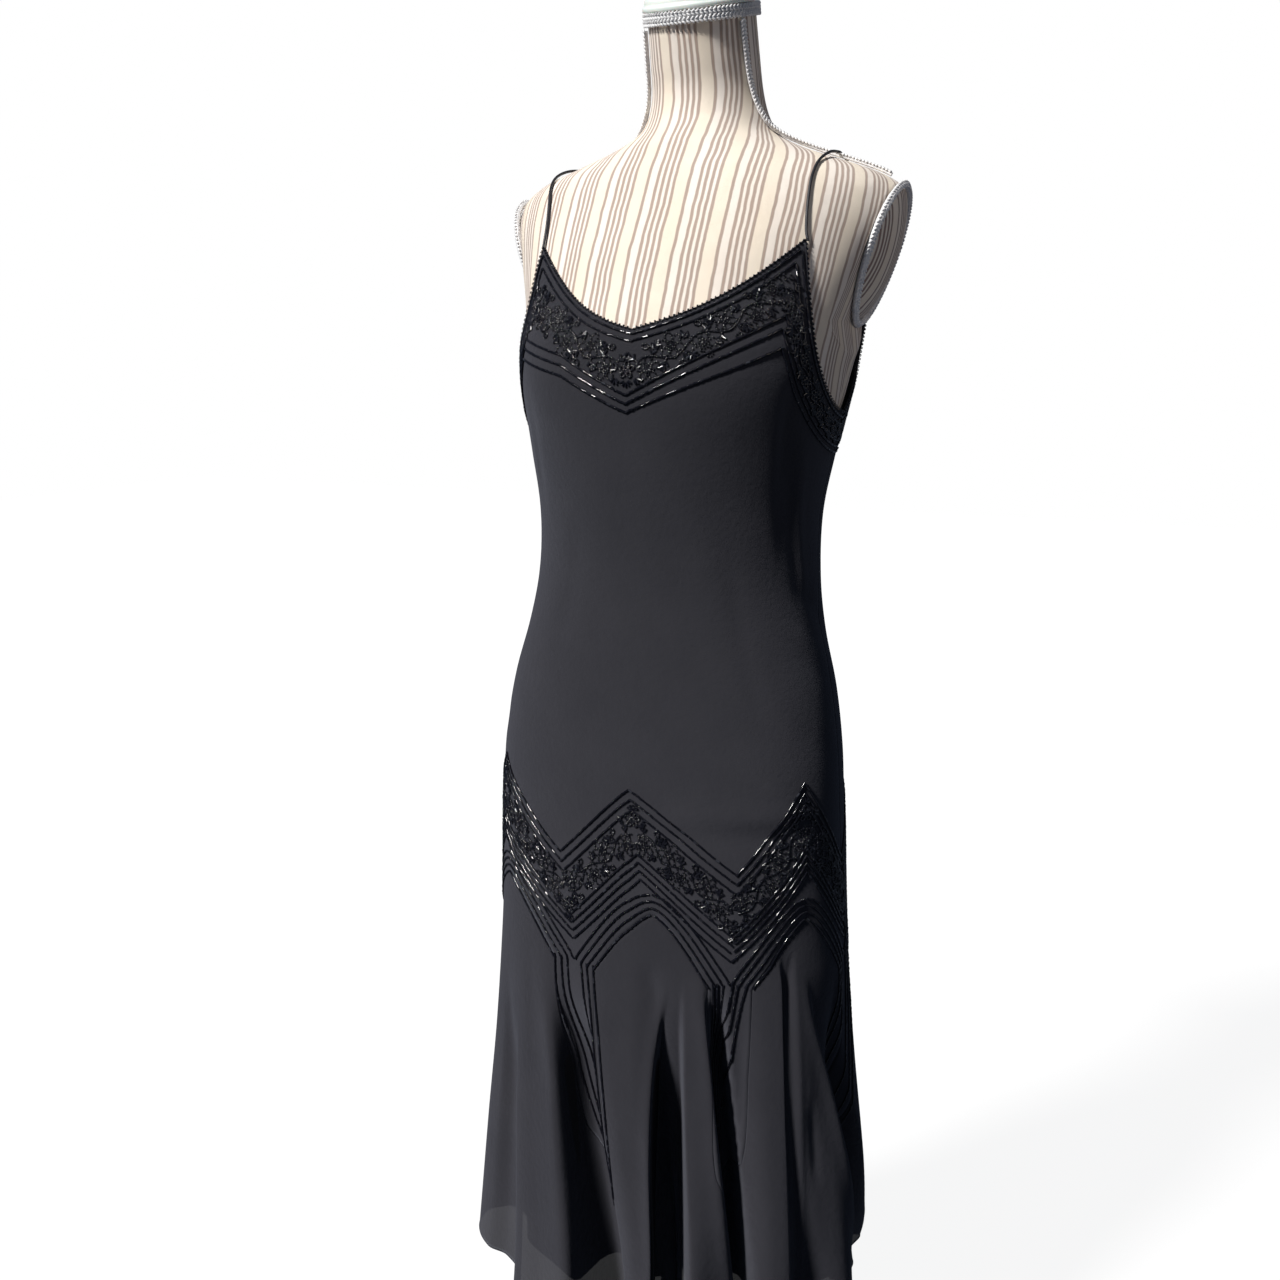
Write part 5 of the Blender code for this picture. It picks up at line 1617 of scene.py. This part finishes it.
def studio():
    """White round the camera, a weak cool fill, a warm key, a light on the shoulder, a white floor."""
    look = bpy.context.scene.view_settings
    look.view_transform = "Standard"
    world = bpy.data.worlds.new("studio")
    world.use_nodes = True
    nodes, links = world.node_tree.nodes, world.node_tree.links
    fill = nodes["Background"]
    seen = nodes.new("ShaderNodeBackground")
    for sky, colour, strength in ((fill, SKY_COLOUR, SKY_STRENGTH), (seen, WHITE, 1.0)):
        sky.inputs["Color"].default_value = colour
        sky.inputs["Strength"].default_value = strength
    ray, mix = nodes.new("ShaderNodeLightPath"), nodes.new("ShaderNodeMixShader")
    links.new(ray.outputs["Is Camera Ray"], mix.inputs["Fac"])
    links.new(fill.outputs["Background"], mix.inputs[1])
    links.new(seen.outputs["Background"], mix.inputs[2])
    links.new(mix.outputs["Shader"], nodes["World Output"].inputs["Surface"])
    bpy.context.scene.world = world
    sun = bpy.data.lights.new("key", "SUN")
    sun.energy = SUN_STRENGTH
    sun.angle = radians(SUN_WIDTH)
    sun.color = SUN_COLOUR
    put("key", sun, SUN_DOWN, SUN_ROUND)
    spot = bpy.data.lights.new("shoulder_light", "SPOT")
    spot.energy = SPOT_POWER
    spot.color = SPOT_COLOUR
    spot.spot_size = radians(SPOT_CONE)
    spot.spot_blend = 1.0
    spot.shadow_soft_size = SPOT_SIZE
    put("shoulder_light", spot, SPOT_DOWN, SPOT_ROUND).location = SPOT_PLACE
    mesh = bpy.data.meshes.new("floor")
    mesh.from_pydata([(x * FLOOR_HALF, y * FLOOR_HALF, 0.0) for x, y in ((-1, -1), (1, -1), (1, 1), (-1, 1))],
                     [], [(0, 1, 2, 3)])
    floor = put("floor", mesh)
    paint = Finish("floor_paint")
    paint.set(Base_Color=FLOOR_TONE, Roughness=0.9)
    paint.set(Emission_Color=WHITE, Emission_Strength=FLOOR_GLOW)
    mesh.materials.append(paint.made)
    floor.visible_diffuse = False
    floor.visible_glossy = False


SHEER = 0.86


def dress():
    opaque, sheer, glass = georgette("georgette"), georgette("georgette_sheer", SHEER), bead_glass()
    rolled_edges(opaque)
    for name, strips in (("body_front", FRONT_STRIPS), ("body_back", BACK_STRIPS)):
        body_panel(name, strips, opaque)
    for name, centre in GODETS.items():
        godet_panel(name, centre, sheer)
    lining_skirt(lining_satin())
    for part, centres in (("front", (-60.0, 0.0, 60.0)), ("back", (120.0, 180.0, 240.0))):
        lines, flowers = Beadwork(), Beadwork()
        hip_lines(lines, flowers, centres)
        lines.make("beads_hip_lines_" + part, glass)
        flowers.make("beads_hip_vine_" + part, glass, LOOSER)
    lines, tails = Beadwork(), Beadwork()
    arch_lines(lines, tails)
    lines.make("beads_arches", glass)
    tails.make("beads_tails", glass)
    lines, flowers = Beadwork(), Beadwork()
    top_beads(lines, flowers)
    lines.make("beads_top_lines", glass)
    flowers.make("beads_top_vine", glass, LOOSER)


# The striped cotton's tones: the wide gap, the narrow gaps and the stripes. The arm plates get a copy of the
# same cotton with painted light: its gaps are lighter than the torso's to lift the shade the plates lie in,
# and its stripes are darker.
TORSO_TONES = (0.86, 0.77, 0.65), (0.87, 0.80, 0.73), (0.43, 0.34, 0.29)
PLATE_TONES_PAINTED_LIGHT = (0.92, 0.83, 0.72), (0.92, 0.85, 0.77), (0.32, 0.24, 0.21)


def dress_form():
    torso(striped_cotton("form_fabric", *TORSO_TONES))
    # The plates' cotton: the torso's stripes, with painted light in the lighter gaps against the plates'
    # shade.
    shade = striped_cotton("plate_fabric", *PLATE_TONES_PAINTED_LIGHT)
    yarn, cap, paint = braid_yarn(), cap_plastic(), stand_paint()
    cord = rouleau()
    for side_name, mirror, crest_x, swing in STRAPS:
        strap(side_name, mirror, crest_x, swing, cord)
        arm_plate(side_name, mirror, shade)
        for kept in ("form_arm_braid_", "form_shoulder_braid_"):
            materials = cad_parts[kept + side_name].data.materials
            materials.clear()
            materials.append(yarn)
    braids(yarn)
    neck = (0.0, NECK_LINE_Y, NECK_TOP)
    turned_piece("form_cap", "form_neck_cap", CAP_PROFILE, cap, "cap_plastic", neck, NECK_TILT)
    turned_piece("stand_foot_disc", "stand_base", BASE_PROFILE, paint, "stand_metal")
    turned_piece("stand_tube", "stand_pole", POLE_PROFILE, paint, "stand_metal")


camera()
studio()
dress()
dress_form()
